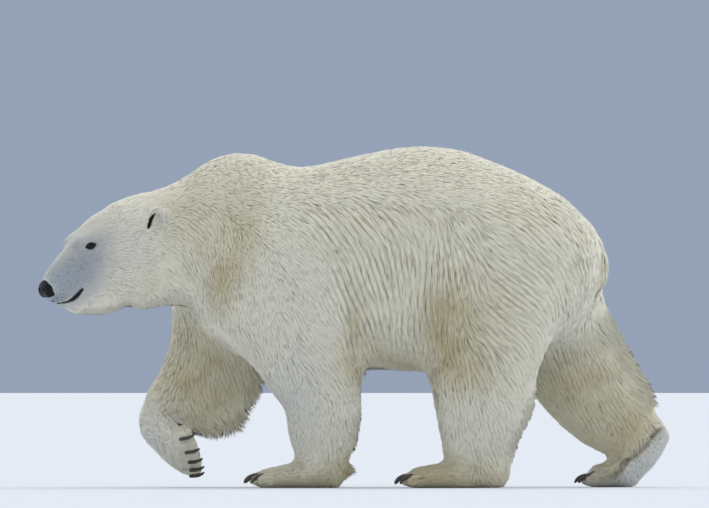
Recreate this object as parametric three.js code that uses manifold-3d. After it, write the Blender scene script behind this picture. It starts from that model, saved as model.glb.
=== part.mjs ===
// A polar bear in mid stride, life size, as a still museum model. Millimetres, +Z up, the nose towards -X and
// the bear's left side towards -Y. Its left paws and its right hind toes stand on the floor, and its right
// forepaw swings. The whole body is one smooth field of tapered lofts and ovals, each named for what it
// stands for. The field is meshed as one body, thinned to large facets, and parted with thin cuts into its
// named parts.
import * as THREE from "three";
import { mergeVertices } from "three/addons/utils/BufferGeometryUtils.js";
import Module from "manifold-3d";

const wasm = await Module();
wasm.setup();

const vec = (x, y, z) => new THREE.Vector3(x, y, z);
const UP = vec(0, 0, 1);
const DOWN = vec(0, 0, -1);
const FRONT = vec(-1, 0, 0);
const BACK = vec(1, 0, 0);

// ---- Driving dimensions ---------------------------------------------------------------------------------
const LEFT = -1; // side signs: the bear's left is -Y
const RIGHT = 1;
const CUT_GAP = 0.8; // width of the thin cuts between the parts of the body
const FIT_GAP = 0.4; // clearance round eyes and claws where they sit in the flesh
const GRID = 8; // cell of the grid that the body's field is meshed on
const BODY_TRIANGLES = 3450; // what the body is thinned to before it is parted
const SOLE_DEPTH = 8; // the soles are made this much too deep, then cut flat on the floor

const TRUNK_BLEND = 60; // widths of the smooth joins
const LEG_BLEND = 100;
const PAW_BLEND = 30;
const TOE_BLEND = 8;
const FACE_BLEND = 22;

const HEAD_YAW = 28; // degrees that the head is turned to the bear's left
const HEAD_PITCH = 22; // and bowed
const EYES_AT = vec(-953, -144, 845); // midway between the eyes, the origin of the head's own frame
const EYE_APART = 61; // from the middle of the head to each eye's centre
const EYE_RADIUS = 14;
const EAR_AT = vec(-250, 127, 0); // the middle of an ear, in the head's frame
const CLAW_LENGTH = 46;
const CLAW_RADIUS = 7;

const COAT = { color: 0xe9e2cc, roughness: 0.85, metalness: 0 };
const NOSE_LEATHER = { color: 0x1b1a1c, roughness: 0.45, metalness: 0 };
const EYE_DARK = { color: 0x120d0a, roughness: 0.08, metalness: 0 };
const CLAW_HORN = { color: 0x25211d, roughness: 0.4, metalness: 0 };

// ---- Fields: { box, at(p) }, where at(p) is a rough distance to the surface, negative inside ------------
const SAMPLES_PER_SPAN = 6;
const FIELD_REACH = 110; // a field is passed over by points further than this from its box

// Catmull-Rom value at u, counted in whole list steps.
function eased(list, u) {
  const last = list.length - 1;
  const i = Math.min(Math.floor(u), last - 1);
  const w = u - i;
  const [a, b, c, d] = [-1, 0, 1, 2].map((k) => list[Math.min(Math.max(i + k, 0), last)]);
  return (2 * b + (c - a) * w + (2 * a - 5 * b + 4 * c - d) * w * w + (3 * b - a - 3 * c + d) * w ** 3) / 2;
}

// A tapered body along a smooth axis. A station is [x, y, z, front, back, side]: the axis point, how far the
// body reaches towards `facing` and away from it, and its half-width. Both ends close in oval caps of the
// given lengths.
function loft(facing, stations, caps) {
  const columns = stations[0].map((_, n) => stations.map((station) => station[n]));
  const count = (stations.length - 1) * SAMPLES_PER_SPAN;
  const rows = [];
  for (let i = 0; i <= count; i++) rows.push(columns.map((column) => eased(column, i / SAMPLES_PER_SPAN)));
  const centres = rows.map(([x, y, z]) => vec(x, y, z));
  const steps = centres.slice(1).map((c, i) => c.clone().sub(centres[i]));
  const widest = Math.max(...rows.map((row) => Math.max(...row.slice(3))));
  const box = new THREE.Box3().setFromPoints(centres).expandByScalar(widest);
  const [away, tangent, normal, side] = [vec(0, 0, 0), vec(0, 0, 0), vec(0, 0, 0), vec(0, 0, 0)];
  return {
    box,
    at(p) {
      let best = Infinity;
      let near = 0;
      let share = 0;
      for (let i = 0; i < count; i++) {
        const step = steps[i];
        away.subVectors(p, centres[i]);
        const t = Math.min(Math.max(away.dot(step) / step.lengthSq(), 0), 1);
        const d = away.addScaledVector(step, -t).lengthSq();
        if (d < best) [best, near, share] = [d, i, t];
      }
      const before = steps[Math.max(near - 1, 0)];
      const after = steps[Math.min(near + 1, count - 1)];
      tangent.copy(steps[near]);
      if (share < 0.5) tangent.lerp(before, 0.5 - share);
      else tangent.lerp(after, share - 0.5);
      tangent.normalize();
      normal.copy(facing).addScaledVector(tangent, -facing.dot(tangent)).normalize();
      side.crossVectors(tangent, normal);
      away.subVectors(p, centres[near]).addScaledVector(steps[near], -share);
      const reach = (n) => rows[near][n] + (rows[near + 1][n] - rows[near][n]) * share;
      const along = away.dot(tangent);
      const v = away.dot(normal);
      const u = away.dot(side);
      const beyond = (near === 0 && share === 0) || (near === count - 1 && share === 1);
      const cap = near === 0 ? caps[0] : caps[1];
      const r = Math.hypot(u / reach(5), v / reach(v > 0 ? 3 : 4), beyond ? along / cap : 0);
      return r < 1e-6 ? -reach(5) : Math.hypot(u, v, beyond ? along : 0) * (1 - 1 / r);
    },
  };
}

// An oval about `centre`, with its half-axes in `radii` along the columns of `frame`.
function oval(centre, radii, frame = new THREE.Matrix4()) {
  const turn = new THREE.Quaternion().setFromRotationMatrix(frame).invert();
  const most = 2 * Math.max(...radii);
  const local = vec(0, 0, 0);
  return {
    box: new THREE.Box3().setFromCenterAndSize(centre, vec(most, most, most)),
    at(p) {
      local.subVectors(p, centre).applyQuaternion(turn);
      const r = Math.hypot(local.x / radii[0], local.y / radii[1], local.z / radii[2]);
      return r < 1e-6 ? -Math.min(...radii) : local.length() * (1 - 1 / r);
    },
  };
}

// Fields joined in turn, each [field, blend, "add" or "cut"] melting into what came before over its blend
// width.
function joined(list) {
  const parts = list.map(([field, blend, way = "add"]) => {
    return { field, blend, cut: way === "cut", reach: field.box.clone().expandByScalar(FIELD_REACH) };
  });
  const box = new THREE.Box3();
  for (const { field } of parts) box.union(field.box);
  return {
    box,
    at(p) {
      let d = FIELD_REACH;
      for (const { field, blend, cut, reach } of parts) {
        if (!reach.containsPoint(p)) continue;
        const e = field.at(p);
        const [a, b] = cut ? [-d, e] : [d, e];
        const h = Math.max(blend - Math.abs(a - b), 0) / blend;
        const least = Math.min(a, b) - (h * h * blend) / 4;
        d = cut ? -least : least;
      }
      return d;
    },
  };
}

// ---- Meshing --------------------------------------------------------------------------------------------
const BLOCK = 6; // cells a side of the blocks that are passed over where the surface is far off
const FAR = 2.4; // how much the rough distances may overstate

// Surface nets: a vertex in each cell that the surface crosses, and a quad across each grid edge that it
// crosses.
function meshed(field, cell) {
  const low = field.box.min.clone().subScalar(2 * cell);
  const size = field.box.getSize(vec(0, 0, 0)).addScalar(4 * cell);
  const [nx, ny, nz] = [size.x, size.y, size.z].map((s) => Math.ceil(s / cell / BLOCK) * BLOCK + 1);
  const index = (i, j, k) => (k * ny + j) * nx + i;
  const value = new Float32Array(nx * ny * nz).fill(NaN);
  const p = vec(0, 0, 0);
  const sample = (i, j, k) => field.at(p.set(low.x + i * cell, low.y + j * cell, low.z + k * cell));
  const half = (BLOCK / 2) * cell * Math.sqrt(3);
  for (let k = 0; k < nz - 1; k += BLOCK) {
    for (let j = 0; j < ny - 1; j += BLOCK) {
      for (let i = 0; i < nx - 1; i += BLOCK) {
        const middle = sample(i + BLOCK / 2, j + BLOCK / 2, k + BLOCK / 2);
        const far = Math.abs(middle) > half * FAR;
        for (let c = k; c <= k + BLOCK; c++) {
          for (let b = j; b <= j + BLOCK; b++) {
            for (let a = i; a <= i + BLOCK; a++) {
              const at = index(a, b, c);
              if (Number.isNaN(value[at])) value[at] = far ? middle : sample(a, b, c);
            }
          }
        }
      }
    }
  }

  // Where the corners of a grid square are inside and outside by turns, the surface would pinch. The outside
  // corner that lies nearest to the surface is taken in.
  const strides = [1, nx, nx * ny];
  function pinches() {
    let found = 0;
    for (let at = 0; at < value.length - strides[1] - strides[2]; at++) {
      for (let axis = 0; axis < 3; axis++) {
        const [b, d] = [at + strides[axis], at + strides[(axis + 1) % 3]];
        const c = b + d - at;
        const inside = value[at] < 0;
        if (value[b] < 0 === inside || value[d] < 0 === inside || value[c] < 0 !== inside) continue;
        const [m, n] = inside ? [b, d] : [at, c];
        value[value[m] < value[n] ? m : n] = -cell / 100;
        found++;
      }
    }
    return found;
  }
  let left = pinches();
  while (left > 0) left = pinches();

  const corner = (n) => [n & 1, (n >> 1) & 1, n >> 2];
  const edges = [];
  for (let n = 0; n < 8; n++) {
    for (const bit of [1, 2, 4].filter((b) => !(n & b))) edges.push([n, n | bit]);
  }
  const points = [];
  const vertexOf = new Int32Array(nx * ny * nz).fill(-1);
  for (let k = 0; k < nz - 1; k++) {
    for (let j = 0; j < ny - 1; j++) {
      for (let i = 0; i < nx - 1; i++) {
        const at = index(i, j, k);
        const first = value[at] < 0;
        const same = (n) => value[at + (n & 1) + ((n >> 1) & 1) * nx + (n >> 2) * nx * ny] < 0 === first;
        if (same(1) && same(2) && same(3) && same(4) && same(5) && same(6) && same(7)) continue;
        const sum = vec(0, 0, 0);
        let crossings = 0;
        for (const [m, n] of edges) {
          const [a, b] = [corner(m), corner(n)];
          const [s, t] = [a, b].map(([x, y, z]) => value[index(i + x, j + y, k + z)]);
          if (s < 0 === t < 0) continue;
          const w = s / (s - t);
          sum.add(vec(a[0] + (b[0] - a[0]) * w, a[1] + (b[1] - a[1]) * w, a[2] + (b[2] - a[2]) * w));
          crossings++;
        }
        vertexOf[at] = points.length;
        points.push(sum.divideScalar(crossings).add(vec(i, j, k)).multiplyScalar(cell).add(low));
      }
    }
  }

  const faces = [];
  for (let k = 1; k < nz - 1; k++) {
    for (let j = 1; j < ny - 1; j++) {
      for (let i = 1; i < nx - 1; i++) {
        const at = index(i, j, k);
        for (let axis = 0; axis < 3; axis++) {
          const inside = value[at] < 0;
          if (inside === value[at + strides[axis]] < 0) continue;
          const [u, v] = [strides[(axis + 1) % 3], strides[(axis + 2) % 3]];
          const ring = [at - u - v, at - v, at, at - u].map((n) => vertexOf[n]);
          if (!inside) ring.reverse();
          const [a, b, c, d] = ring;
          const shorter = points[a].distanceToSquared(points[c]) < points[b].distanceToSquared(points[d]);
          faces.push(...(shorter ? [[a, b, c], [a, c, d]] : [[a, b, d], [b, c, d]]));
        }
      }
    }
  }
  return { points, faces };
}

const MOST_TURN = 0.35; // cosine of the most that a facet may turn as the mesh is thinned
const LEAST_FACET = 0.06; // the thinnest facet's doubled area, over its longest side squared
const GONE = 1e6; // added to a vertex's age when it is thinned away

// Thins a closed mesh to about `target` triangles by collapsing the edges that change its shape least.
// `weightAt` says how much the shape matters at a point.
function thinned({ points, faces }, target, weightAt) {
  const live = faces.map((face) => [...face]);
  const around = points.map(() => new Set());
  live.forEach((face, n) => face.forEach((v) => around[v].add(n)));
  const stamp = new Int32Array(points.length);
  const quadrics = points.map(() => new Float64Array(10));
  const [ab, ac, normal] = [vec(0, 0, 0), vec(0, 0, 0), vec(0, 0, 0)];
  const cross = (a, b, c) => normal.crossVectors(ab.subVectors(b, a), ac.subVectors(c, a));

  for (const face of live) {
    const [a, b, c] = face.map((v) => points[v]);
    const area = cross(a, b, c).length();
    if (area === 0) continue;
    normal.divideScalar(area);
    const plane = [normal.x, normal.y, normal.z, -normal.dot(a)];
    const weight = area * weightAt(a);
    const products = plane.flatMap((m, i) => plane.slice(i).map((n) => weight * m * n));
    for (const v of face) products.forEach((product, n) => (quadrics[v][n] += product));
  }

  function costAt(q, p) {
    const [x, y, z] = [p.x, p.y, p.z];
    return (
      q[0] * x * x + 2 * q[1] * x * y + 2 * q[2] * x * z + 2 * q[3] * x + q[4] * y * y +
      2 * q[5] * y * z + 2 * q[6] * y + q[7] * z * z + 2 * q[8] * z + q[9]
    );
  }

  // The best place for the joined vertex: where the summed planes meet, if that is close by, or the middle.
  function placed(a, b) {
    const q = quadrics[a].map((x, n) => x + quadrics[b][n]);
    const middle = points[a].clone().add(points[b]).multiplyScalar(0.5);
    const system = new THREE.Matrix3().set(q[0], q[1], q[2], q[1], q[4], q[5], q[2], q[5], q[7]);
    const span = points[a].distanceTo(points[b]);
    const det = system.determinant();
    if (Math.abs(det) > 1e-9 * q[0] * q[4] * q[7]) {
      const best = vec(-q[3], -q[6], -q[8]).applyMatrix3(system.invert());
      if (best.distanceTo(middle) < span) return { q, best, cost: costAt(q, best) };
    }
    return { q, best: middle, cost: costAt(q, middle) };
  }

  const heap = [];
  function push(entry) {
    let n = heap.push(entry) - 1;
    while (n > 0 && heap[(n - 1) >> 1].cost > entry.cost) {
      heap[n] = heap[(n - 1) >> 1];
      n = (n - 1) >> 1;
    }
    heap[n] = entry;
  }
  function pop() {
    const top = heap[0];
    const entry = heap.pop();
    let n = 0;
    while (heap.length > 0) {
      let child = 2 * n + 1;
      if (child + 1 < heap.length && heap[child + 1].cost < heap[child].cost) child++;
      if (child >= heap.length || heap[child].cost >= entry.cost) break;
      heap[n] = heap[child];
      n = child;
    }
    if (heap.length > 0) heap[n] = entry;
    return top;
  }
  const offer = (a, b) => push({ a, b, cost: placed(a, b).cost, age: stamp[a] + stamp[b] });
  const sides = live.flatMap(([a, b, c]) => [[a, b], [b, c], [c, a]]);
  for (const [a, b] of sides.filter(([m, n]) => m < n)) offer(a, b);

  const neighbours = (v) => new Set([...around[v]].flatMap((n) => live[n]).filter((w) => w !== v));
  function turns(v, other, best) {
    for (const n of around[v]) {
      if (live[n].includes(other)) continue;
      const before = cross(...live[n].map((w) => points[w])).clone().normalize();
      const after = cross(...live[n].map((w) => (w === v ? best : points[w])));
      const longest = Math.max(ab.lengthSq(), ac.lengthSq());
      if (before.dot(after) < MOST_TURN * after.length()) return true;
      if (after.length() < LEAST_FACET * longest) return true;
    }
    return false;
  }

  let count = live.length;
  while (count > target && heap.length > 0) {
    const { a, b, age } = pop();
    if (!around[a].size || !around[b].size || stamp[a] + stamp[b] !== age) continue;
    const ringA = neighbours(a);
    if (!ringA.has(b)) continue;
    const ringB = neighbours(b);
    if ([...ringA].filter((v) => ringB.has(v)).length !== 2) continue;
    const { q, best } = placed(a, b);
    if (turns(a, b, best) || turns(b, a, best)) continue;
    for (const n of [...around[b]]) {
      if (live[n].includes(a)) {
        for (const v of live[n]) around[v].delete(n);
        live[n] = null;
        count--;
      } else {
        live[n] = live[n].map((v) => (v === b ? a : v));
        around[a].add(n);
      }
    }
    around[b].clear();
    points[a] = best;
    quadrics[a] = q;
    stamp[a]++;
    stamp[b] += GONE;
    for (const v of neighbours(a)) offer(a, v);
  }
  return { points, faces: live.filter((face) => face) };
}

// ---- Solids ---------------------------------------------------------------------------------------------
function solid(geometry) {
  geometry.deleteAttribute("normal");
  geometry.deleteAttribute("uv");
  const merged = mergeVertices(geometry, 1e-3);
  const vertProperties = new Float32Array(merged.attributes.position.array);
  const triVerts = new Uint32Array(merged.index.array);
  return new wasm.Manifold(new wasm.Mesh({ numProp: 3, vertProperties, triVerts }));
}

function geometryOf({ points, faces }) {
  return new THREE.BufferGeometry().setFromPoints(points).setIndex(faces.flat());
}

// The cuts leave some very short edges, which are welded shut.
const WELD = 0.05;
function meshOf(manifold) {
  const { vertProperties, triVerts } = manifold.getMesh();
  const geometry = new THREE.BufferGeometry();
  geometry.setAttribute("position", new THREE.BufferAttribute(vertProperties, 3));
  geometry.setIndex(new THREE.BufferAttribute(triVerts, 1));
  const welded = mergeVertices(geometry, WELD);
  const old = welded.index.array;
  const index = [];
  for (let n = 0; n < old.length; n += 3) {
    const [a, b, c] = [old[n], old[n + 1], old[n + 2]];
    if (a !== b && b !== c && c !== a) index.push(a, b, c);
  }
  return welded.setIndex(index);
}

// A block that fills all on the far side of a plane, which it keeps `gap` away from.
const BLOCK_SIZE = 4000;
function beyond([point, normal], gap) {
  const block = new THREE.BoxGeometry(BLOCK_SIZE, BLOCK_SIZE, BLOCK_SIZE);
  block.translate(0, 0, BLOCK_SIZE / 2 + gap);
  block.applyQuaternion(new THREE.Quaternion().setFromUnitVectors(UP, normal.clone().normalize()));
  return solid(block.translate(point.x, point.y, point.z));
}

// ---- Trunk, neck and tail -------------------------------------------------------------------------------
const trunk = loft(UP, [
  [-440, -18, 800, 362, 270, 196],
  [-330, -18, 775, 366, 320, 240],
  [-210, -16, 755, 368, 330, 268],
  [-60, -12, 745, 408, 325, 296],
  [90, -7, 740, 441, 322, 316],
  [250, -3, 745, 452, 335, 320],
  [400, 0, 755, 429, 325, 308],
  [540, 0, 765, 360, 310, 288],
  [670, 0, 765, 280, 270, 254],
  [760, 0, 752, 198, 215, 206],
], [90, 96]);

const neck = loft(UP, [
  [-360, -18, 850, 282, 250, 180],
  [-520, -18, 862, 250, 240, 170],
  [-640, -18, 852, 203, 208, 150],
  [-730, -28, 836, 182, 196, 132],
  [-800, -52, 818, 170, 196, 124],
], [60, 60]);

// The shoulder blades and their muscles stand up as a hump over the withers.
const hump = oval(vec(-425, -18, 1070), [132, 96, 106]);

const tail = loft(BACK, [
  [836, 0, 850, 26, 40, 44],
  [860, 0, 790, 28, 36, 42],
  [864, 0, 728, 20, 26, 30],
], [30, 34]);

// ---- Head: laid out in its own frame, [a, b, c] = ahead, to the left and up from between the eyes -------
const yaw = THREE.MathUtils.degToRad(HEAD_YAW);
const pitch = THREE.MathUtils.degToRad(HEAD_PITCH);
const AHEAD = vec(-Math.cos(yaw) * Math.cos(pitch), -Math.sin(yaw) * Math.cos(pitch), -Math.sin(pitch));
const LEFTWARDS = vec(Math.sin(yaw), -Math.cos(yaw), 0);
const HEAD_UP = AHEAD.clone().cross(LEFTWARDS);
const headFrame = new THREE.Matrix4().makeBasis(AHEAD, LEFTWARDS, HEAD_UP);
const inHead = (a, b, c) => vec(a, b, c).applyMatrix4(headFrame).add(EYES_AT);
const headOval = (a, b, c, radii) => oval(inHead(a, b, c), radii, headFrame);
const pair = (a, b, c, radii) => [1, -1].map((side) => headOval(a, side * b, c, radii));

const skull = loft(HEAD_UP, [
  [-330, -100, 120, 130, 90],
  [-250, -92, 158, 170, 124],
  [-160, -78, 157, 174, 130],
  [-80, -68, 151, 160, 116],
  [-10, -64, 122, 136, 86],
  [55, -68, 84, 108, 64],
  [115, -80, 67, 88, 54],
  [160, -91, 49, 68, 48],
  [190, -96, 35, 46, 37],
].map(([a, c, up, down, side]) => [...inHead(a, 0, c).toArray(), up, down, side]), [60, 15]);

// The two cheeks, jowls, brows and upper lips, the chin, and the hollows that the eyes lie in.
const FACE = [
  ...pair(-88, 72, -66, [84, 46, 66]).map((field) => [field, FACE_BLEND]),
  ...pair(-112, 56, -172, [92, 64, 64]).map((field) => [field, FACE_BLEND * 2]),
  [headOval(25, 0, -182, [112, 46, 42]), FACE_BLEND * 2],
  [headOval(-22, 0, -202, [72, 50, 48]), FACE_BLEND * 2],
  ...pair(-2, 46, 24, [48, 26, 22]).map((field) => [field, FACE_BLEND]),
  ...pair(152, 26, -96, [54, 27, 34]).map((field) => [field, FACE_BLEND]),
  [headOval(130, 0, -150, [42, 30, 22]), FACE_BLEND],
  ...pair(4, 80, -3, [30, 22, 15]).map((field) => [field, 12, "cut"]),
];

// An ear is a thick round cup that faces ahead and a little out, with a deep hollow. Its radii run along the
// way it faces, across and up.
const EAR_RADII = [29, 36, 48];
const EAR_HOLLOW = [17, 19, 29];
const EAR_MOUTH = [25, 6]; // how far ahead of the ear's middle, and above it, the hollow lies
const EAR_FACES = vec(0.88, 0.34, 0.2);
const EAR_STANDS = vec(-0.42, 0.4, 0.8);
function earFrame(side) {
  const faces = vec(EAR_FACES.x, side * EAR_FACES.y, EAR_FACES.z).transformDirection(headFrame);
  const stands = vec(EAR_STANDS.x, side * EAR_STANDS.y, EAR_STANDS.z).transformDirection(headFrame);
  const across = stands.clone().cross(faces).normalize();
  const centre = inHead(EAR_AT.x, side * EAR_AT.y, EAR_AT.z);
  return { faces, across, stands: faces.clone().cross(across), centre };
}
function ear(side) {
  const { faces, across, stands, centre } = earFrame(side);
  const frame = new THREE.Matrix4().makeBasis(faces, across, stands);
  const mouth = centre.clone().addScaledVector(faces, EAR_MOUTH[0]).addScaledVector(stands, EAR_MOUTH[1]);
  return [[oval(centre, EAR_RADII, frame), 12], [oval(mouth, EAR_HOLLOW, frame), 8, "cut"]];
}

// ---- Legs -----------------------------------------------------------------------------------------------
const foreLeft = loft(FRONT, [
  [-330, -160, 820, 150, 170, 90],
  [-300, -180, 680, 200, 190, 112],
  [-222, -180, 530, 170, 195, 120],
  [-150, -164, 410, 165, 168, 114],
  [-116, -142, 300, 136, 136, 106],
  [-114, -120, 190, 121, 118, 96],
  [-118, -106, 112, 95, 96, 86],
  [-126, -100, 60, 84, 88, 88],
], [60, 30]);

const foreRight = loft(FRONT, [
  [-340, 130, 820, 150, 170, 90],
  [-440, 148, 690, 200, 190, 112],
  [-480, 166, 560, 172, 176, 118],
  [-524, 170, 460, 144, 200, 114],
  [-592, 164, 360, 110, 212, 104],
  [-652, 156, 285, 94, 146, 94],
  [-690, 146, 225, 78, 84, 86],
], [60, 40]);

const hindLeft = loft(FRONT, [
  [520, -130, 880, 190, 200, 110],
  [500, -165, 720, 225, 225, 134],
  [462, -182, 540, 212, 212, 136],
  [445, -182, 407, 193, 190, 126],
  [444, -178, 315, 177, 175, 114],
  [430, -170, 215, 149, 146, 100],
  [426, -160, 130, 120, 120, 88],
  [426, -158, 70, 108, 112, 84],
], [60, 30]);

const hindRight = loft(FRONT, [
  [600, 130, 880, 190, 200, 110],
  [640, 162, 720, 222, 212, 134],
  [714, 180, 550, 208, 190, 134],
  [796, 184, 415, 196, 168, 122],
  [876, 184, 305, 174, 154, 106],
  [952, 180, 216, 130, 128, 92],
  [1012, 172, 172, 88, 92, 78],
], [60, 40]);

// A paw in its own frame: `ahead` runs from the wrist or heel to the toes, and `up` out of its back. Its
// stations are [along, lift, up, down, side], and each toe has a claw that points `droop` degrees down from
// `ahead`.
const TOES = [-1, -0.5, 0, 0.5, 1]; // from the inner toe to the outer one
const TOE_FAN = 9; // degrees that the outermost toes spread
const CLAW_ALONG = 0.62; // where a claw roots, as a share of its toe's half-axes, unless `rooted` says
const CLAW_LIFT = 0.42;
function paw({ side, origin, ahead, up, stations, caps, toes }) {
  const inner = up.clone().cross(ahead).multiplyScalar(side);
  const place = (a, b, c) => {
    return origin.clone().addScaledVector(ahead, a).addScaledVector(inner, b).addScaledVector(up, c);
  };
  const palm = loft(up, stations.map(([a, c, ...reach]) => [...place(a, 0, c).toArray(), ...reach]), caps);
  const digits = TOES.map((t, n) => {
    const fan = THREE.MathUtils.degToRad(-t * TOE_FAN);
    const along = ahead.clone().multiplyScalar(Math.cos(fan)).addScaledVector(inner, Math.sin(fan));
    const across = up.clone().cross(along);
    const back = toes.arc * t * t + (n === 0 ? toes.innerBack : 0);
    const centre = place(toes.along - back, -t * toes.spread, toes.lift);
    const frame = new THREE.Matrix4().makeBasis(along, across, up);
    const root = centre.clone().addScaledVector(along, (toes.rooted ?? CLAW_ALONG) * toes.radii[0]);
    root.addScaledVector(up, CLAW_LIFT * toes.radii[2]);
    return { field: oval(centre, toes.radii, frame), root, along, up };
  });
  return { palm, digits, droop: toes.droop };
}

const paws = {
  forepaw_left: paw({
    side: LEFT, origin: vec(-70, -100, 0), ahead: FRONT, up: UP, caps: [28, 25],
    stations: [[0, 40, 38, 48, 78], [80, 48, 50, 56, 100], [175, 42, 38, 50, 114], [240, 34, 32, 42, 112]],
    toes: { along: 262, lift: 30, spread: 88, arc: 26, innerBack: 12, radii: [44, 24, 28], droop: 14 },
  }),
  forepaw_right: paw({
    side: RIGHT, origin: vec(-690, 146, 225), ahead: vec(0.427, -0.7, -0.57).normalize(),
    up: vec(-0.885, -0.206, -0.409).normalize(), caps: [30, 25],
    stations: [[0, 0, 76, 62, 86], [70, 0, 68, 62, 100], [140, -2, 56, 62, 108], [185, -8, 44, 60, 104]],
    toes: {
      along: 212, lift: -28, spread: 82, arc: 24, innerBack: 10, radii: [42, 24, 34], droop: 58, rooted: 0.9,
    },
  }),
  hindpaw_left: paw({
    side: LEFT, origin: vec(500, -155, 0), ahead: FRONT, up: UP, caps: [44, 25],
    stations: [[0, 44, 48, 52, 72], [90, 48, 52, 56, 82], [200, 42, 44, 50, 92], [285, 34, 38, 42, 94]],
    toes: { along: 308, lift: 29, spread: 74, arc: 18, innerBack: 8, radii: [42, 21, 27], droop: 16 },
  }),
  hindpaw_right: paw({
    side: RIGHT, origin: vec(935, 180, 0), ahead: vec(-0.985, 0.17, 0).normalize(), up: UP, caps: [58, 25],
    stations: [[0, 50, 50, 58, 82], [85, 38, 42, 46, 92]],
    toes: { along: 108, lift: 28, spread: 74, arc: 18, innerBack: 8, radii: [42, 21, 27], droop: 12 },
  }),
};

// The raised heel of the far hind foot.
const heel = loft(UP, [
  [1060, 160, 194, 40, 50, 62],
  [1006, 168, 122, 54, 62, 74],
  [940, 180, 62, 54, 62, 84],
], [30, 28]);

// ---- The body -------------------------------------------------------------------------------------------
const body = joined([
  [trunk, 1],
  [hump, TRUNK_BLEND],
  [neck, TRUNK_BLEND],
  [skull, TRUNK_BLEND],
  ...FACE,
  ...ear(1),
  ...ear(-1),
  [tail, 24],
  ...[foreLeft, foreRight, hindLeft, hindRight].map((leg) => [leg, LEG_BLEND]),
  [heel, PAW_BLEND],
  ...Object.values(paws).flatMap(({ palm, digits }) => {
    return [[palm, PAW_BLEND], ...digits.map(({ field }) => [field, TOE_BLEND])];
  }),
]);
const aboveFloor = { box: body.box, at: (p) => Math.max(body.at(p), -SOLE_DEPTH - p.z) };

// ---- Parting --------------------------------------------------------------------------------------------
const HEAD_DETAIL = 6; // how much more the thinning minds a change of shape on the head than elsewhere
const PAW_DETAIL = 2;
const weightAt = (p) => (p.x < -740 && p.z > 560 ? HEAD_DETAIL : p.z < 120 ? PAW_DETAIL : 1);
let rest = solid(geometryOf(thinned(meshed(aboveFloor, GRID), BODY_TRIANGLES, weightAt)));
rest = rest.intersect(beyond([vec(0, 0, 0), UP], 0));

const pieces = {};

// Takes off the part of the body that lies beyond all of the planes, each [point, outward normal].
function part(name, planes) {
  const region = (gap) => planes.map((plane) => beyond(plane, gap)).reduce((a, b) => a.intersect(b));
  pieces[name] = rest.intersect(region(CUT_GAP / 2));
  rest = rest.subtract(region(-CUT_GAP / 2));
}

// The plane through three points, with its normal on the side of `towards`.
function through(a, b, c, towards) {
  const normal = b.clone().sub(a).cross(c.clone().sub(a)).normalize();
  return [a, normal.dot(towards) < 0 ? normal.negate() : normal];
}

// The nose's leather is the muzzle's blunt end, above the upper lip.
const NOSE_BACK = 181;
const NOSE_FLOOR = -118;
part("nose", [[inHead(NOSE_BACK, 0, 0), AHEAD], [inHead(NOSE_BACK, 0, NOSE_FLOOR), HEAD_UP]]);

// Two planes that shut in what lies within `reach` of a point along an axis.
function slab(point, axis, reach) {
  return [
    [point.clone().addScaledVector(axis, -reach), axis],
    [point.clone().addScaledVector(axis, reach), axis.clone().negate()],
  ];
}

// An ear is parted from the head a little below its middle, along a plane that leans outwards.
const EAR_ROOT = 22;
const EAR_LEAN = 0.35;
const EAR_REGION = { tall: 51, deep: 40, wide: 44 };
for (const [name, side] of [["ear_left", 1], ["ear_right", -1]]) {
  const { faces, across, stands, centre } = earFrame(side);
  const out = stands.clone().addScaledVector(across, -EAR_LEAN).normalize();
  const tall = centre.clone().addScaledVector(out, EAR_REGION.tall - EAR_ROOT);
  part(name, [
    ...slab(tall, out, EAR_REGION.tall),
    ...slab(centre, faces, EAR_REGION.deep),
    ...slab(centre, across, EAR_REGION.wide),
  ]);
}

const TAIL_ROOT = vec(856, 0, 780); // on the plane that parts the tail from the rump
const TAIL_TIP = 688;
const TAIL_REGION = 64;
part("tail", [
  [TAIL_ROOT, vec(1, 0, -0.06)],
  [vec(0, 0, TAIL_TIP), UP],
  ...slab(vec(0, 0, 0), vec(0, 1, 0), TAIL_REGION),
]);

const BETWEEN_LEGS = 90; // a cross plane at this x parts the fore from the hind legs

// The near foreleg, from the point of the shoulder down.
part("foreleg_left", [
  through(vec(-520, -60, 560), vec(60, -60, 400), vec(-230, -330, 760), DOWN),
  [vec(-440, 0, 100), vec(1, 0, 0.2)],
  [vec(BETWEEN_LEGS, 0, 0), FRONT],
  [vec(0, 34, 0), vec(0, -1, -0.09)],
]);
part("foreleg_right", [
  through(vec(-700, 60, 560), vec(-60, 60, 400), vec(-400, 330, 760), DOWN),
  [vec(BETWEEN_LEGS, 0, 0), FRONT],
]);
part("hindleg_left", [
  through(vec(240, -60, 440), vec(700, -60, 560), vec(480, -330, 860), DOWN),
  [vec(BETWEEN_LEGS, 0, 0), BACK],
  [vec(0, -2, 0), vec(0, -1, 0)],
]);
part("hindleg_right", [
  through(vec(330, 60, 440), vec(860, 60, 640), vec(620, 330, 860), DOWN),
  [vec(BETWEEN_LEGS, 0, 0), BACK],
  [vec(0, 2, 0), vec(0, 1, 0)],
]);
part("head", [[vec(-715, 0, 830), vec(-0.896, -0.1, 0.444)]]);
part("neck", [[vec(-560, 0, 870), vec(-0.94, 0, 0.34)]]);
pieces.trunk = rest;

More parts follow.
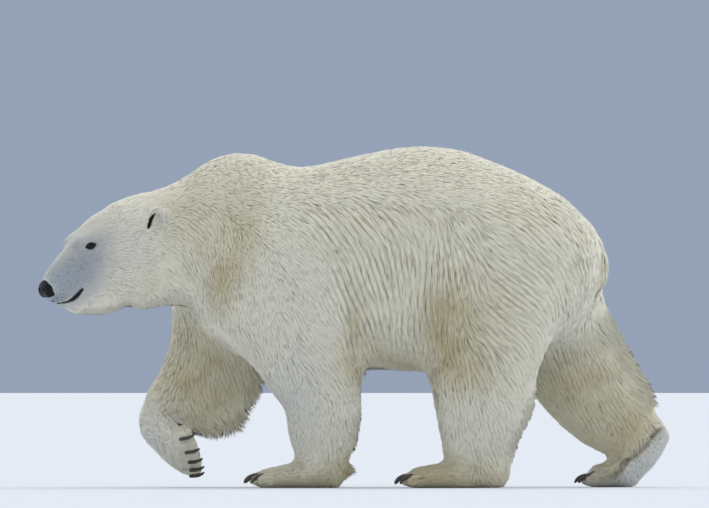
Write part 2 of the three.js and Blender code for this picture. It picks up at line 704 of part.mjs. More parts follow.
// Each leg is parted again at its elbow or knee, and above its paw.
const LEG_CUTS = {
  foreleg_left: {
    joint: [vec(-128, -150, 330), vec(0.05, 0, -1)],
    ankle: [vec(-116, -104, 112), vec(-0.08, 0, -1)],
  },
  foreleg_right: {
    joint: [vec(-548, 165, 425), vec(-0.6, 0, -0.8)],
    ankle: [vec(-690, 140, 240), vec(-0.45, -0.45, -0.77)],
  },
  hindleg_left: {
    joint: [vec(445, -182, 430), DOWN],
    ankle: [vec(426, -158, 122), DOWN],
  },
  hindleg_right: {
    joint: [vec(785, 184, 435), vec(0.55, 0, -0.83)],
    ankle: [vec(990, 174, 186), vec(0.3, 0, -0.95)],
  },
};
for (const [leg, { joint, ankle }] of Object.entries(LEG_CUTS)) {
  rest = pieces[leg];
  delete pieces[leg];
  part(leg.replace("leg", "paw"), [ankle]);
  part(`${leg}_lower`, [joint]);
  pieces[`${leg}_upper`] = rest;
}

// ---- Eyes, nostrils and claws ---------------------------------------------------------------------------
for (const [name, side] of [["eye_left", 1], ["eye_right", -1]]) {
  const { x, y, z } = inHead(-2, side * EYE_APART, -2);
  const ball = (radius) => solid(new THREE.SphereGeometry(radius, 12, 8).translate(x, y, z));
  pieces[name] = ball(EYE_RADIUS);
  pieces.head = pieces.head.subtract(ball(EYE_RADIUS + FIT_GAP));
}

// A nostril is a slanting oval hollow in the side of the nose.
const NOSTRIL_RADII = [13, 7, 5];
const NOSTRIL_AT = vec(201, 15, -79);
const NOSTRIL_SLANT = 0.5;
for (const side of [1, -1]) {
  const hollow = new THREE.SphereGeometry(1, 8, 6).scale(...NOSTRIL_RADII).rotateZ(side * NOSTRIL_SLANT);
  hollow.translate(NOSTRIL_AT.x, side * NOSTRIL_AT.y, NOSTRIL_AT.z).applyMatrix4(headFrame);
  pieces.nose = pieces.nose.subtract(solid(hollow.translate(EYES_AT.x, EYES_AT.y, EYES_AT.z)));
}

// A claw is a horn bent along an arc, that starts along `along` and bends away from `up`. A grown claw is
// thicker and longer all round by `grow`.
const CLAW_RINGS = 4;
const CLAW_SIDES = 6;
const CLAW_BEND = 1; // radians from root to tip
const CLAW_DEEP = 1.2; // a claw is deeper than it is wide
const CLAW_WIDE = 0.8;
const CLAW_ROOT = 16; // how deep the root lies in the toe
function claw({ root, along, up }, droop, grow) {
  const start = along.clone().multiplyScalar(Math.cos(droop)).addScaledVector(up, -Math.sin(droop));
  const down = up.clone().multiplyScalar(-Math.cos(droop)).addScaledVector(along, -Math.sin(droop));
  const across = start.clone().cross(down);
  const bow = CLAW_LENGTH / CLAW_BEND;
  const points = [];
  for (let ring = 0; ring < CLAW_RINGS; ring++) {
    const share = ring / CLAW_RINGS;
    const angle = share * CLAW_BEND;
    const outwards = start.clone().multiplyScalar(Math.sin(angle)).addScaledVector(down, -Math.cos(angle));
    const sunk = ring === 0 ? CLAW_ROOT + grow : 0;
    const centre = root.clone().addScaledVector(start, bow * Math.sin(angle) - sunk);
    centre.addScaledVector(down, bow * (1 - Math.cos(angle)));
    const radius = CLAW_RADIUS * Math.sqrt(1 - share) + grow;
    for (let n = 0; n < CLAW_SIDES; n++) {
      const turn = (n / CLAW_SIDES) * 2 * Math.PI;
      const point = centre.clone().addScaledVector(outwards, radius * CLAW_DEEP * Math.cos(turn));
      points.push(point.addScaledVector(across, radius * CLAW_WIDE * Math.sin(turn)));
    }
  }
  const tipAngle = CLAW_BEND * (1 + grow / CLAW_LENGTH);
  const tip = root.clone().addScaledVector(start, bow * Math.sin(tipAngle));
  points.push(tip.addScaledVector(down, bow * (1 - Math.cos(tipAngle))));
  const faces = [];
  for (let n = 0; n < CLAW_SIDES; n++) {
    const next = (n + 1) % CLAW_SIDES;
    for (let ring = 0; ring < CLAW_RINGS - 1; ring++) {
      const [a, b] = [ring * CLAW_SIDES + n, ring * CLAW_SIDES + next];
      faces.push([a, b + CLAW_SIDES, b], [a, a + CLAW_SIDES, b + CLAW_SIDES]);
    }
    const top = (CLAW_RINGS - 1) * CLAW_SIDES;
    faces.push([top + n, points.length - 1, top + next]);
    if (n > 0 && n < CLAW_SIDES - 1) faces.push([0, n, n + 1]);
  }
  return solid(geometryOf({ points, faces }));
}

for (const [foot, { digits, droop }] of Object.entries(paws)) {
  digits.forEach((digit, n) => {
    const angle = THREE.MathUtils.degToRad(droop);
    const name = foot.replace("paw", "_claw");
    pieces[`${name}_${n + 1}`] = claw(digit, angle, 0);
    pieces[foot] = pieces[foot].subtract(claw(digit, angle, FIT_GAP));
  });
}

// ---- The bear: its pieces as named meshes, stood with the middle of its box over the origin -------------
const materialOf = (name) => {
  if (name.startsWith("eye")) return EYE_DARK;
  if (name === "nose") return NOSE_LEATHER;
  return name.includes("claw") ? CLAW_HORN : COAT;
};
const bear = new THREE.Group();
for (const [name, piece] of Object.entries(pieces)) {
  const mesh = new THREE.Mesh(meshOf(piece), new THREE.MeshStandardMaterial(materialOf(name)));
  mesh.name = name;
  bear.add(mesh);
}
const middle = new THREE.Box3().setFromObject(bear, true).getCenter(vec(0, 0, 0));
bear.position.set(-middle.x, -middle.y, 0);

export default bear;
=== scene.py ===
import math

import bmesh
import bpy
import numpy as np
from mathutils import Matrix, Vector
from mathutils.kdtree import KDTree


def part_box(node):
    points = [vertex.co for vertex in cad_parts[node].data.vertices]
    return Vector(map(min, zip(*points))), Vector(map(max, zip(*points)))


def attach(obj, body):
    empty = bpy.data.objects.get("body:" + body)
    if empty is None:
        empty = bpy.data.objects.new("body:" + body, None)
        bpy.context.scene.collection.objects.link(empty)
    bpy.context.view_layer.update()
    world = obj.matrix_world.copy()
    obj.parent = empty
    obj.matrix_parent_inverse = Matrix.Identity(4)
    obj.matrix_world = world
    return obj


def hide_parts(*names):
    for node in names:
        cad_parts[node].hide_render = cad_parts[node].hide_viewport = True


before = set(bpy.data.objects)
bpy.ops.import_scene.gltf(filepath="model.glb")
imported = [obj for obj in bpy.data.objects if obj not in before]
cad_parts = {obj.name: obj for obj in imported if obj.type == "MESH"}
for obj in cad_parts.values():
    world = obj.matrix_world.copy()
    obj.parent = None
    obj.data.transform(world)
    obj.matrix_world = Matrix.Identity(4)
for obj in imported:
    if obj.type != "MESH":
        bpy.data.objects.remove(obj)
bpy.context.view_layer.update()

# ---- Camera -----------------------------------------------------------------------------------------------
# A long lens, low over the floor and square to the bear's left side, that looks up very slightly.
CAMERA_AWAY = 45
CAMERA_HEIGHT = 0.38
VIEW_WIDTH = 2.4815  # metres across the picture where the bear stands
VIEW_MIDDLE = Vector((-0.002, 0.0, 0.817))


def placed(name, data):
    piece = bpy.data.objects.new(name, data)
    bpy.context.collection.objects.link(piece)
    return piece


camera = placed("camera", bpy.data.cameras.new("camera"))
camera.data.lens = camera.data.sensor_width * CAMERA_AWAY / VIEW_WIDTH
camera.data.clip_end = 500
camera.location = (VIEW_MIDDLE.x, -CAMERA_AWAY, CAMERA_HEIGHT)
camera.rotation_euler = (VIEW_MIDDLE - camera.location).to_track_quat("-Z", "Y").to_euler()
bpy.context.scene.camera = camera


# ---- Coat chart -------------------------------------------------------------------------------------------
# How the coat grows. Each kind of hair has its length, the depth of coat over the skin, a tuft's width,
# how far tufts stand off, how much they cling in locks, how deep the coat's creases are and how far apart,
# and how often the flesh under it is smoothed. The chart says which way and of which kind hair at a place is.
KINDS = {
    #           length depth  width  stand lock  crease apart smooth
    "back":     (.052, .008, .0030, .04, .10, .22, .012, 90),
    "flank":    (.075, .011, .0031, .02, .30, 1.0, .0215, 90),
    "shoulder": (.042, .0075, .0028, .03, .12, .25, .011, 90),
    "haunch":   (.066, .010, .0032, .03, .35, .85, .019, 90),
    "belly":    (.080, .016, .0036, .18, .35, .10, .020, 60),
    "neck":     (.042, .0075, .0028, .03, .25, .55, .013, 60),
    "throat":   (.046, .010, .0030, .50, .45, .06, .013, 30),
    "leg":      (.046, .008, .0030, .10, .40, .50, .014, 40),
    "shin":     (.032, .0065, .0026, .06, .15, .18, .010, 24),
    "wisp":     (.062, .010, .0030, .60, .60, .15, .014, 30),
    "fringe":   (.105, .012, .0032, .85, .60, .00, .018, 30),
    "foot":     (.022, .006, .0025, .06, .30, .05, .008, 8),
    "heel":     (.085, .009, .0030, .95, .85, .00, .012, 12),
    "tail":     (.075, .012, .0036, .15, .40, .10, .016, 12),
    "nape":     (.032, .006, .0026, .02, .12, .20, .0095, 24),
    "cheek":    (.024, .005, .0023, .02, .15, .26, .0085, 14),
    "chin":     (.030, .006, .0022, .55, .50, .00, .0085, 14),
    "face":     (.012, .003, .0018, .02, .12, .12, .0065, 9),
    "muzzle":   (.007, .0016, .0016, .02, .10, .04, .0060, 9),
    "ear":      (.018, .0045, .0021, .10, .25, .04, .008, 4),
}

LENGTH, DEPTH, WIDTH, STAND, LOCK, CREASE, APART, SMOOTH = range(8)  # the columns above

# Trunk and neck: the same on both sides. Places are x, distance out from the middle, and z.
BODY_LIE = [
    # place, lie, kind
    ((-.62, .05, 1.03), (1, 0, .35), "neck"),
    ((-.42, .03, 1.16), (1, .1, -.05), "shoulder"),
    ((-.30, .03, 1.13), (1, .1, -.25), "shoulder"),
    ((-.16, .03, 1.12), (1, .1, .1), "back"),
    ((.10, .05, 1.17), (1, .1, .05), "back"),
    ((.38, .05, 1.18), (1, .1, -.05), "back"),
    ((.60, .05, 1.08), (1, .1, -.5), "back"),
    ((.78, .05, .93), (.7, .1, -.9), "back"),
    ((-.41, .12, 1.06), (.8, .1, -.45), "shoulder"),
    ((-.38, .20, .98), (1, 0, -.3), "shoulder"),
    ((-.56, .15, .90), (.75, .1, -.65), "neck"),
    ((-.56, .17, .78), (.45, 0, -.9), "neck"),
    ((-.44, .18, .88), (.35, 0, -.95), "neck"),
    ((-.42, .18, .74), (.1, 0, -1), "neck"),
    ((-.64, .13, .70), (.6, 0, -.8), "throat"),
    ((-.60, .05, .64), (.7, 0, -.6), "throat"),
    ((-.45, .08, .58), (.4, 0, -.9), "throat"),
    ((-.30, .22, 1.05), (1, 0, -.25), "shoulder"),
    ((-.27, .27, .895), (.8, 0, -.6), "shoulder"),
    ((-.19, .29, .785), (.7, 0, -.7), "shoulder"),
    ((-.13, .30, .73), (.6, 0, -.8), "shoulder"),
    ((-.36, .26, .78), (.35, 0, -.95), "shoulder"),
    ((-.30, .29, .645), (.35, 0, -.95), "shoulder"),
    ((-.19, .30, .62), (.5, 0, -.87), "shoulder"),
    ((-.10, .30, .53), (.6, 0, -.75), "shoulder"),
    ((-.27, .29, .50), (.2, 0, -1), "leg"),
    ((-.075, .22, 1.06), (1, 0, -.45), "back"),
    ((.09, .24, 1.05), (1, 0, -.35), "back"),
    ((.26, .24, 1.045), (1, 0, -.25), "back"),
    ((-.10, .28, .92), (.62, 0, -.8), "flank"),
    ((.04, .30, .95), (.6, 0, -.8), "flank"),
    ((.20, .30, .98), (.65, 0, -.75), "flank"),
    ((.285, .31, .895), (.05, 0, -1), "flank"),
    ((.38, .30, .895), (.5, 0, -.85), "haunch"),
    ((-.05, .30, .727), (.35, 0, -.95), "flank"),
    ((.063, .31, .727), (.3, 0, -.95), "flank"),
    ((.174, .32, .727), (.08, 0, -1), "flank"),
    ((.258, .32, .70), (-.08, 0, -1), "flank"),
    ((.35, .31, .672), (.15, 0, -1), "haunch"),
    ((.315, .30, .56), (-.02, 0, -1), "haunch"),
    ((.00, .28, .56), (.25, 0, -.97), "flank"),
    ((.175, .28, .53), (0, 0, -1), "flank"),
    ((.05, .18, .43), (.15, -.4, -1), "belly"),
    ((.22, .18, .42), (.05, -.4, -1), "belly"),
    ((.05, .0, .42), (.5, 0, -.6), "belly"),
    ((.22, .0, .41), (.4, 0, -.6), "belly"),
    ((-.12, .0, .44), (.5, 0, -.6), "belly"),
    ((.435, .26, 1.04), (1, 0, -.18), "back"),
    ((.505, .29, .935), (.9, 0, -.45), "haunch"),
    ((.645, .26, .83), (.75, 0, -.65), "haunch"),
    ((.715, .16, 1.00), (.75, 0, -.65), "haunch"),
    ((.80, .12, .84), (.35, 0, -.9), "haunch"),
    ((.575, .30, .69), (.8, 0, -.6), "haunch"),
    ((.74, .24, .66), (.55, 0, -.83), "haunch"),
    ((.85, .0, .86), (.15, 0, -1), "tail"),
    ((.87, .0, .74), (.1, 0, -1), "tail"),
    ((.82, .08, .70), (.25, 0, -.95), "haunch"),
    ((.467, .31, .55), (.75, 0, -.65), "haunch"),
    ((.57, .30, .586), (.8, 0, -.6), "haunch"),
    ((.70, .05, .52), (.3, 0, -.9), "belly"),
]
# The legs, each its own pose: the two left ones are at negative y.
LEG_LIE = [
    ((-.25, -.28, .4), (.15, 0, -1), "leg"),
    ((-.16, -.28, .475), (.7, 0, -.65), "leg"),
    ((-.1, -.27, .415), (.6, 0, -.8), "leg"),
    ((-.2, -.246, .3), (.2, 0, -1), "shin"),
    ((-.24, -.136, .25), (.1, 0, -1), "shin"),
    ((-.16, -.216, .2), (.25, 0, -1), "shin"),
    ((-.14, -.016, .3), (.2, 0, -1), "shin"),
    ((-.02, -.18, .38), (.5, 0, -.8), "leg"),
    ((.02, -.136, .28), (.45, 0, -.9), "wisp"),
    ((0, -.116, .19), (.5, 0, -.87), "wisp"),
    ((-.02, -.106, .135), (.5, 0, -.87), "leg"),
    ((-.035, -.106, .092), (.87, 0, -.5), "heel"),
    ((-.16, -.186, .11), (.1, 0, -1), "shin"),
    ((-.2, -.106, .11), (-.5, 0, -.8), "foot"),
    ((-.25, -.186, .05), (-1, 0, -.2), "foot"),
    ((-.3, -.106, .07), (-1, 0, -.25), "foot"),
    ((-.25, -.016, .05), (-1, 0, -.2), "foot"),
    ((-.12, -.186, .04), (-.3, 0, -.5), "foot"),
    ((-.045, -.106, .045), (.4, 0, -.8), "foot"),
    ((-.05, -.106, .015), (.3, 0, -.8), "foot"),
    ((-.1, -.03, .05), (.5, 0, -.6), "foot"),
    ((-.55, .08, .6), (.15, 0, -1), "leg"),
    ((-.46, .07, .505), (.35, 0, -.93), "leg"),
    ((-.56, .07, .446), (-.1, 0, -1), "leg"),
    ((-.64, .1, .36), (-.35, 0, -.9), "leg"),
    ((-.52, .07, .355), (.15, 0, -1), "leg"),
    ((-.43, .1, .33), (.5, 0, -.85), "leg"),
    ((-.66, .16, .48), (-.25, 0, -.95), "leg"),
    ((-.6, .26, .42), (-.1, 0, -1), "leg"),
    ((-.48, .28, .42), (.2, 0, -1), "leg"),
    ((-.36, .15, .36), (.6, 0, -.8), "fringe"),
    ((-.42, .15, .27), (.6, 0, -.75), "fringe"),
    ((-.52, .14, .2), (.55, 0, -.8), "fringe"),
    ((-.58, .07, .25), (.3, 0, -.9), "leg"),
    ((-.74, .14, .29), (-.25, -.1, -.95), "shin"),
    ((-.76, .12, .22), (.1, -.5, -.8), "foot"),
    ((-.72, .06, .16), (.43, -.7, -.57), "foot"),
    ((-.66, 0, .1), (.43, -.7, -.57), "foot"),
    ((-.6, .08, .16), (.6, -.3, -.6), "foot"),
    ((-.63, -.02, .16), (.43, -.7, -.57), "foot"),
    ((.33, -.29, .4), (.1, 0, -1), "leg"),
    ((.46, -.31, .42), (.35, 0, -.93), "haunch"),
    ((.58, -.28, .42), (.6, 0, -.8), "leg"),
    ((.36, -.28, .3), (.12, 0, -1), "leg"),
    ((.5, -.28, .32), (.5, 0, -.87), "leg"),
    ((.43, -.26, .17), (.3, 0, -.95), "leg"),
    ((.44, -.08, .25), (.2, 0, -1), "leg"),
    ((.6, -.17, .3), (.6, 0, -.8), "wisp"),
    ((.56, -.16, .2), (.4, 0, -.92), "wisp"),
    ((.33, -.16, .22), (.05, 0, -1), "leg"),
    ((.48, -.23, .08), (.45, 0, -.8), "leg"),
    ((.53, -.16, .07), (.4, 0, -.85), "leg"),
    ((.36, -.22, .08), (-.5, 0, -.7), "foot"),
    ((.3, -.22, .05), (-.9, 0, -.3), "foot"),
    ((.26, -.15, .07), (-1, 0, -.25), "foot"),
    ((.3, -.08, .05), (-.9, 0, -.3), "foot"),
    ((.2, -.15, .05), (-1, 0, -.25), "foot"),
    ((.74, .08, .45), (.35, 0, -.93), "leg"),
    ((.85, .09, .36), (.45, 0, -.9), "leg"),
    ((.68, .09, .36), (.35, 0, -.93), "leg"),
    ((.92, .1, .25), (.55, 0, -.8), "leg"),
    ((.82, .1, .23), (.45, 0, -.87), "leg"),
    ((.76, .3, .42), (.4, 0, -.9), "leg"),
    ((.88, .28, .28), (.5, 0, -.85), "leg"),
    ((.93, .15, .48), (.8, 0, -.6), "fringe"),
    ((.99, .16, .38), (.8, 0, -.55), "fringe"),
    ((.9, .12, .6), (.7, 0, -.7), "fringe"),
    ((1.03, .16, .27), (.7, 0, -.6), "leg"),
    ((.98, .1, .17), (.2, 0, -1), "shin"),
    ((1.06, .15, .18), (.3, 0, -.9), "foot"),
    ((.94, .09, .11), (-.3, 0, -.9), "foot"),
    ((.87, .17, .1), (-.6, 0, -.7), "foot"),
    ((.86, .1, .05), (-1, .1, -.2), "foot"),
    ((.85, .26, .05), (-1, .1, -.2), "foot"),
    ((.97, .18, .04), (.4, 0, -.6), "foot"),
]
# The head, in its own frame: ahead of the eyes, out from the middle and up, the same on both sides.
HEAD_LIE = [
    ((.19, .03, -.10), (-1, .3, 0), "muzzle"),
    ((.15, .0, -.05), (-1, 0, .3), "muzzle"),
    ((.13, .05, -.10), (-1, .25, 0), "muzzle"),
    ((.09, .06, -.14), (-1, .2, -.2), "muzzle"),
    ((.13, .03, -.17), (-1, .2, -.2), "muzzle"),
    ((.07, .0, .01), (-1, 0, .25), "face"),
    ((.04, .05, -.04), (-1, .2, .05), "face"),
    ((.02, .07, -.10), (-1, .2, -.15), "face"),
    ((.09, .02, -.20), (.0, .1, -1), "chin"),
    ((.05, .03, -.222), (-.05, .1, -1), "chin"),
    ((.115, .0, -.195), (.0, .1, -1), "chin"),
    ((-.03, .05, .045), (-1, .15, .2), "face"),
    ((-.02, .08, -.03), (-1, .2, -.1), "face"),
    ((-.07, .11, -.07), (-1, .1, -.25), "cheek"),
    ((-.06, .10, -.15), (-.9, 0, -.5), "cheek"),
    ((-.11, .05, .085), (-1, .1, .1), "face"),
    ((-.14, .12, .02), (-1, .15, -.1), "cheek"),
    ((-.15, .13, -.08), (-.85, .1, -.5), "cheek"),
    ((-.13, .11, -.19), (-.75, 0, -.65), "cheek"),
    ((-.03, .03, -.245), (-.15, 0, -1), "chin"),
    ((-.17, .04, -.27), (-.30, 0, -.95), "throat"),
    ((-.21, .05, .085), (-1, .05, 0), "nape"),
    ((-.22, .14, -.08), (-.65, .05, -.75), "cheek"),
    ((-.24, .12, -.18), (-.65, 0, -.75), "throat"),
    ((-.31, .05, .07), (-1, .05, -.05), "nape"),
    ((-.32, .14, -.05), (-.75, 0, -.65), "neck"),
    ((-.262, .145, .045), (-.4, .3, .8), "ear"),
    ((-.25, .13, .02), (-.5, .2, .7), "ear"),
]

HEAD_PITCH = math.radians(22)
EYE_SET_BACK = .002  # the eyes' centres lie this far behind and below the head frame's origin


def middle_of(node):
    low, high = (np.array(corner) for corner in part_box(node))
    return (low + high) / 2


eye_places = [middle_of("eye_left"), middle_of("eye_right")]
leftwards = (eye_places[0] - eye_places[1]) / np.linalg.norm(eye_places[0] - eye_places[1])
forwards = np.array((leftwards[1], -leftwards[0], 0))
ahead = forwards * math.cos(HEAD_PITCH) - np.array((0, 0, math.sin(HEAD_PITCH)))
head_axes = np.array((ahead, leftwards, np.cross(ahead, leftwards)))
head_origin = sum(eye_places) / 2 + head_axes.T @ (EYE_SET_BACK, 0, EYE_SET_BACK)


def to_head(points):
    return (points - head_origin) @ head_axes.T


def to_half_head(points):
    """In the head's frame, with one side folded onto the other."""
    local = to_head(points)
    local[:, 1] = abs(local[:, 1])
    return local


def from_head(places):
    return np.asarray(places) @ head_axes + head_origin


rows = list(LEG_LIE)
for side in (1, -1):
    turned = np.array((1, side, 1))
    rows += [(place * turned, lie * turned, kind) for place, lie, kind in BODY_LIE]
    rows += [(from_head(place * turned), lie * turned @ head_axes, kind) for place, lie, kind in HEAD_LIE]
chart_places = np.array([place for place, _, _ in rows], float)
chart_lies = np.array([lie / np.linalg.norm(lie) for _, lie, _ in rows], float)
chart_kinds = np.array([KINDS[kind] for _, _, kind in rows], float)
CHART_REACH = .025  # how softly one place of the chart passes into the next
AT_ONCE = 20000  # points looked up in the chart at a time


def charted(points):
    """The lie of the hair and its kind's values at each point, from the nearest places of the chart."""
    lies, kinds = np.empty((len(points), 3)), np.empty((len(points), chart_kinds.shape[1]))
    for start in range(0, len(points), AT_ONCE):
        some = points[start:start + AT_ONCE]
        apart = ((some[:, None] - chart_places[None]) ** 2).sum(2)
        weight = 1 / (apart + CHART_REACH ** 2) ** 2.5
        weight /= weight.sum(1, keepdims=True)
        lies[start:start + AT_ONCE] = weight @ chart_lies
        kinds[start:start + AT_ONCE] = weight @ chart_kinds
    return lies, kinds


# ---- Skin -------------------------------------------------------------------------------------------------
# The hide over the whole body, in one piece: the body's solids grown together, smoothed, and set in by the
# depth of the coat. Round the eyes, ears, nose and mouth it is finer, with lids and lips worked into it.
SKIN_CELL = .0085
OVERLAP = .0012  # the solids are grown by this much, to close the thin cuts between them
flesh = [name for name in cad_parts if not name.startswith(("eye", "nose", "fore_claw", "hind_claw"))]


def object_of(name, shape):
    mesh = bpy.data.meshes.new(name)
    shape.to_mesh(mesh)
    shape.free()
    piece = placed(name, mesh)
    bpy.ops.object.select_all(action="DESELECT")
    bpy.context.view_layer.objects.active = piece
    piece.select_set(True)
    return piece


def solids_of(nodes, grow):
    shape = bmesh.new()
    for node in nodes:
        shape.from_mesh(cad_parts[node].data)
    bmesh.ops.remove_doubles(shape, verts=shape.verts, dist=1e-5)
    shape.normal_update()
    for vertex in shape.verts:
        vertex.co += vertex.normal * grow
    return shape


def applied(piece, kind, **settings):
    modifier = piece.modifiers.new(kind.lower(), kind)
    for key, value in settings.items():
        setattr(modifier, key, value)
    bpy.ops.object.modifier_apply(modifier=modifier.name)


def read(items, key, width, kind=np.float32):
    flat = np.empty(len(items) * width, kind)
    items.foreach_get(key, flat)
    return flat.reshape(-1, width)


def points_of(mesh):
    return read(mesh.vertices, "co", 3).astype(float)


def set_points(mesh, points):
    mesh.vertices.foreach_set("co", points.astype(np.float32).ravel())
    mesh.update()


def normals_of(mesh):
    return read(mesh.vertex_normals, "vector", 3).astype(float)


def neighbours_of(mesh):
    a, b = read(mesh.edges, "vertices", 2, np.int32).T
    return np.concatenate((a, b)), np.concatenate((b, a))


def averaged(values, pairs):
    """Each vertex's mean over its neighbours."""
    here, there = pairs
    count = np.bincount(here, minlength=len(values))
    if values.ndim == 1:
        return np.bincount(here, values[there], len(values)) / count
    return np.stack([np.bincount(here, column[there], len(values)) / count for column in values.T], 1)


def eased(value, start, end):
    t = np.clip((value - start) / (end - start), 0, 1)
    return t * t * (3 - 2 * t)


# A place smoothed fewer times than the first of these keeps its form, and one over the second doesn't.
KEEPS_FORM = (18, 36)
PUT_BACK = 1.03  # how much of each step of smoothing is undone where the form is kept


def smoothed(points, pairs, times):
    """Moves each vertex towards its neighbours' middle, as many times as `times` says for it.
    Where those are few it is mostly put back, so that only the facets go and the form stays."""
    back = PUT_BACK * (1 - eased(times, *KEEPS_FORM))
    for n in range(int(times.max()) + 1):
        share = .5 * np.clip(times - n, 0, 1)[:, None]
        points = points + (averaged(points, pairs) - points) * share
        share *= back[:, None]
        if share.any():
            points = points - (averaged(points, pairs) - points) * share
    return points


skin = object_of("skin", solids_of([*flesh, "nose", "eye_left", "eye_right"], OVERLAP))
applied(skin, "REMESH", mode="VOXEL", voxel_size=SKIN_CELL)
places = points_of(skin.data)
pairs = neighbours_of(skin.data)
_, kinds = charted(places)
places = smoothed(places, pairs, kinds[:, SMOOTH])
set_points(skin.data, places)
inset = averaged(averaged(kinds[:, DEPTH], pairs), pairs) + OVERLAP
places -= normals_of(skin.data) * inset[:, None]
set_points(skin.data, places)

# The face is cut finer: all of it, again round the eyes, lips, nose and ears, and once more at the eyes.
EYE_OUT = .061  # from the head's middle to an eye's centre
# The line between the lips, as places ahead and up.
MOUTH = [
    (.187, -.137), (.180, -.147), (.166, -.153), (.144, -.156), (.121, -.154), (.100, -.147), (.078, -.135),
]
NOSE_AT = (.194, 0, -.085)
EAR_AT = (-.250, .127, .0)
FINE_PLACES = [((-.002, .066, -.002), .042), (NOSE_AT, .05), (EAR_AT, .062)]  # each with its reach
FINE_LIPS = .034  # and how far round the lips
FINEST_EYE = ((0, .068, 0), .036)  # and what is cut a third time
FACE_FROM, HEAD_FROM = -.13, -.32  # the face and the head are all that lies ahead of these


def near(points, place, reach):
    return np.linalg.norm(points - np.array(place), axis=1) < reach


def fine_parts(points):
    head = to_half_head(points)
    wanted = np.zeros(len(points), bool)
    for place, reach in FINE_PLACES:
        wanted |= near(head, place, reach)
    for forward, up in MOUTH:
        wanted |= near(head, (forward, .035, up), FINE_LIPS)
    return wanted


def cut_finer(piece, chosen):
    shape = bmesh.new()
    shape.from_mesh(piece.data)
    wanted = chosen(points_of(piece.data))
    shape.verts.ensure_lookup_table()
    edges = [e for e in shape.edges if wanted[e.verts[0].index] and wanted[e.verts[1].index]]
    bmesh.ops.subdivide_edges(shape, edges=edges, cuts=1, use_grid_fill=True)
    shape.to_mesh(piece.data)
    shape.free()


cut_finer(skin, lambda points: to_head(points)[:, 0] > FACE_FROM)
cut_finer(skin, fine_parts)
cut_finer(skin, lambda points: near(to_half_head(points), *FINEST_EYE))
places = points_of(skin.data)
pairs = neighbours_of(skin.data)
head = to_head(places)
places = smoothed(places, pairs, np.where(head[:, 0] > HEAD_FROM, 3.0, 0.0))
set_points(skin.data, places)

# Lids: the skin near an eye is drawn over the eyeball, and opens in a pointed almond.
EYE_RADIUS = .014
LID_THICKNESS = .0022
SOCKET = .004  # inside the opening the skin lies this far within the eyeball
EYE_REACH = .05  # nothing further from an eye than this is moved for it
LIDS_END = (1.9, 5.5)  # where lids begin and end to pass into the face, in sizes of the opening
ALMOND = (.0140, .0078)  # half the width and height of the opening
DARK_ROUND = (.0225, .0138)  # and of the dark skin round it
EYE_LOOKS = np.array((.42, .88, .12))
EYE_SLANT = (1, 0, .10)  # the way its opening is long


def in_almond(away, axes, half):
    """Under 1 inside an almond of this half-width and half-height along its two axes."""
    long_axis, high_axis = axes
    return np.hypot(away @ high_axis / half[1], .1) + (away @ long_axis / half[0]) ** 2


FAR = 9.0  # stands for well outside
dark_lids = np.full(len(places), FAR)
head = to_head(places)
for side in (1, -1):
    looks = EYE_LOOKS * (1, side, 1) / np.linalg.norm(EYE_LOOKS)
    long_axis = np.cross(looks, np.cross(EYE_SLANT, looks))
    long_axis /= np.linalg.norm(long_axis)
    axes = (long_axis, np.cross(looks, long_axis))
    centre = np.array((-EYE_SET_BACK, side * EYE_OUT, -EYE_SET_BACK))
    away = head - centre
    radius = np.linalg.norm(away, axis=1)
    far = (away @ looks < 0) | (radius > EYE_REACH)
    drawn = np.maximum(1, (EYE_RADIUS + LID_THICKNESS) / radius)
    off = in_almond(away * drawn[:, None], axes, ALMOND)
    off[far] = FAR
    lid = EYE_RADIUS + LID_THICKNESS * (1 + .5 * np.exp(-((off - 1.5) / .35) ** 2))
    wanted = np.where(off < 1, EYE_RADIUS - SOCKET, lid)
    wanted = np.where(off < 1, wanted, wanted + (radius - wanted) * eased(off, *LIDS_END))
    touched = off < LIDS_END[1]
    head[touched] += away[touched] * (wanted / radius - 1)[touched, None]
    dark = in_almond(head - centre, axes, DARK_ROUND)
    dark[far] = FAR
    dark_lids = np.minimum(dark_lids, dark)


def off_line(points, line):
    """Distance of points from a bent line."""
    best = np.full(len(points), FAR)
    for a, b in zip(np.array(line[:-1]), np.array(line[1:])):
        share = np.clip((points - a) @ (b - a) / ((b - a) @ (b - a)), 0, 1)
        best = np.minimum(best, np.linalg.norm(points - a - share[:, None] * (b - a), axis=1))
    return best


# The mouth is closed: a groove between the lips, with a full lower lip.
LIP_GROOVE = .0050
LIP_GROOVE_HALF = .0040
LIPS_FROM = .05  # how far ahead lips begin
mouth_off = off_line(head[:, [0, 2]], MOUTH)
mouth_off[head[:, 0] < LIPS_FROM] = FAR
places = from_head(head)
set_points(skin.data, places)
pressed = LIP_GROOVE * np.exp(-(mouth_off / LIP_GROOVE_HALF) ** 2)
# An ear's opening is a deep slit that slants across the front of its cup.
EAR_SLIT = np.array(((-.249, .0245), (-.1945, -.0245)))  # ahead and up
EAR_SLIT_HALF = .0075
EAR_SLIT_DEPTH = .009
EARS_FROM = .085  # how far out from the head's middle ears begin
slit_along = (EAR_SLIT[1] - EAR_SLIT[0]) / np.linalg.norm(EAR_SLIT[1] - EAR_SLIT[0])
slit_middle = EAR_SLIT.mean(0)
slit_long = np.linalg.norm(EAR_SLIT[1] - EAR_SLIT[0]) / 2
from_slit = head[:, [0, 2]] - slit_middle
slit_u = from_slit @ slit_along / slit_long
slit_v = from_slit @ (-slit_along[1], slit_along[0]) / EAR_SLIT_HALF
slit_off = np.hypot(slit_v, .1) + slit_u ** 2
slit_off[abs(head[:, 1]) < EARS_FROM] = FAR
pressed += EAR_SLIT_DEPTH * (1 - eased(slit_off, .3, 1.3))
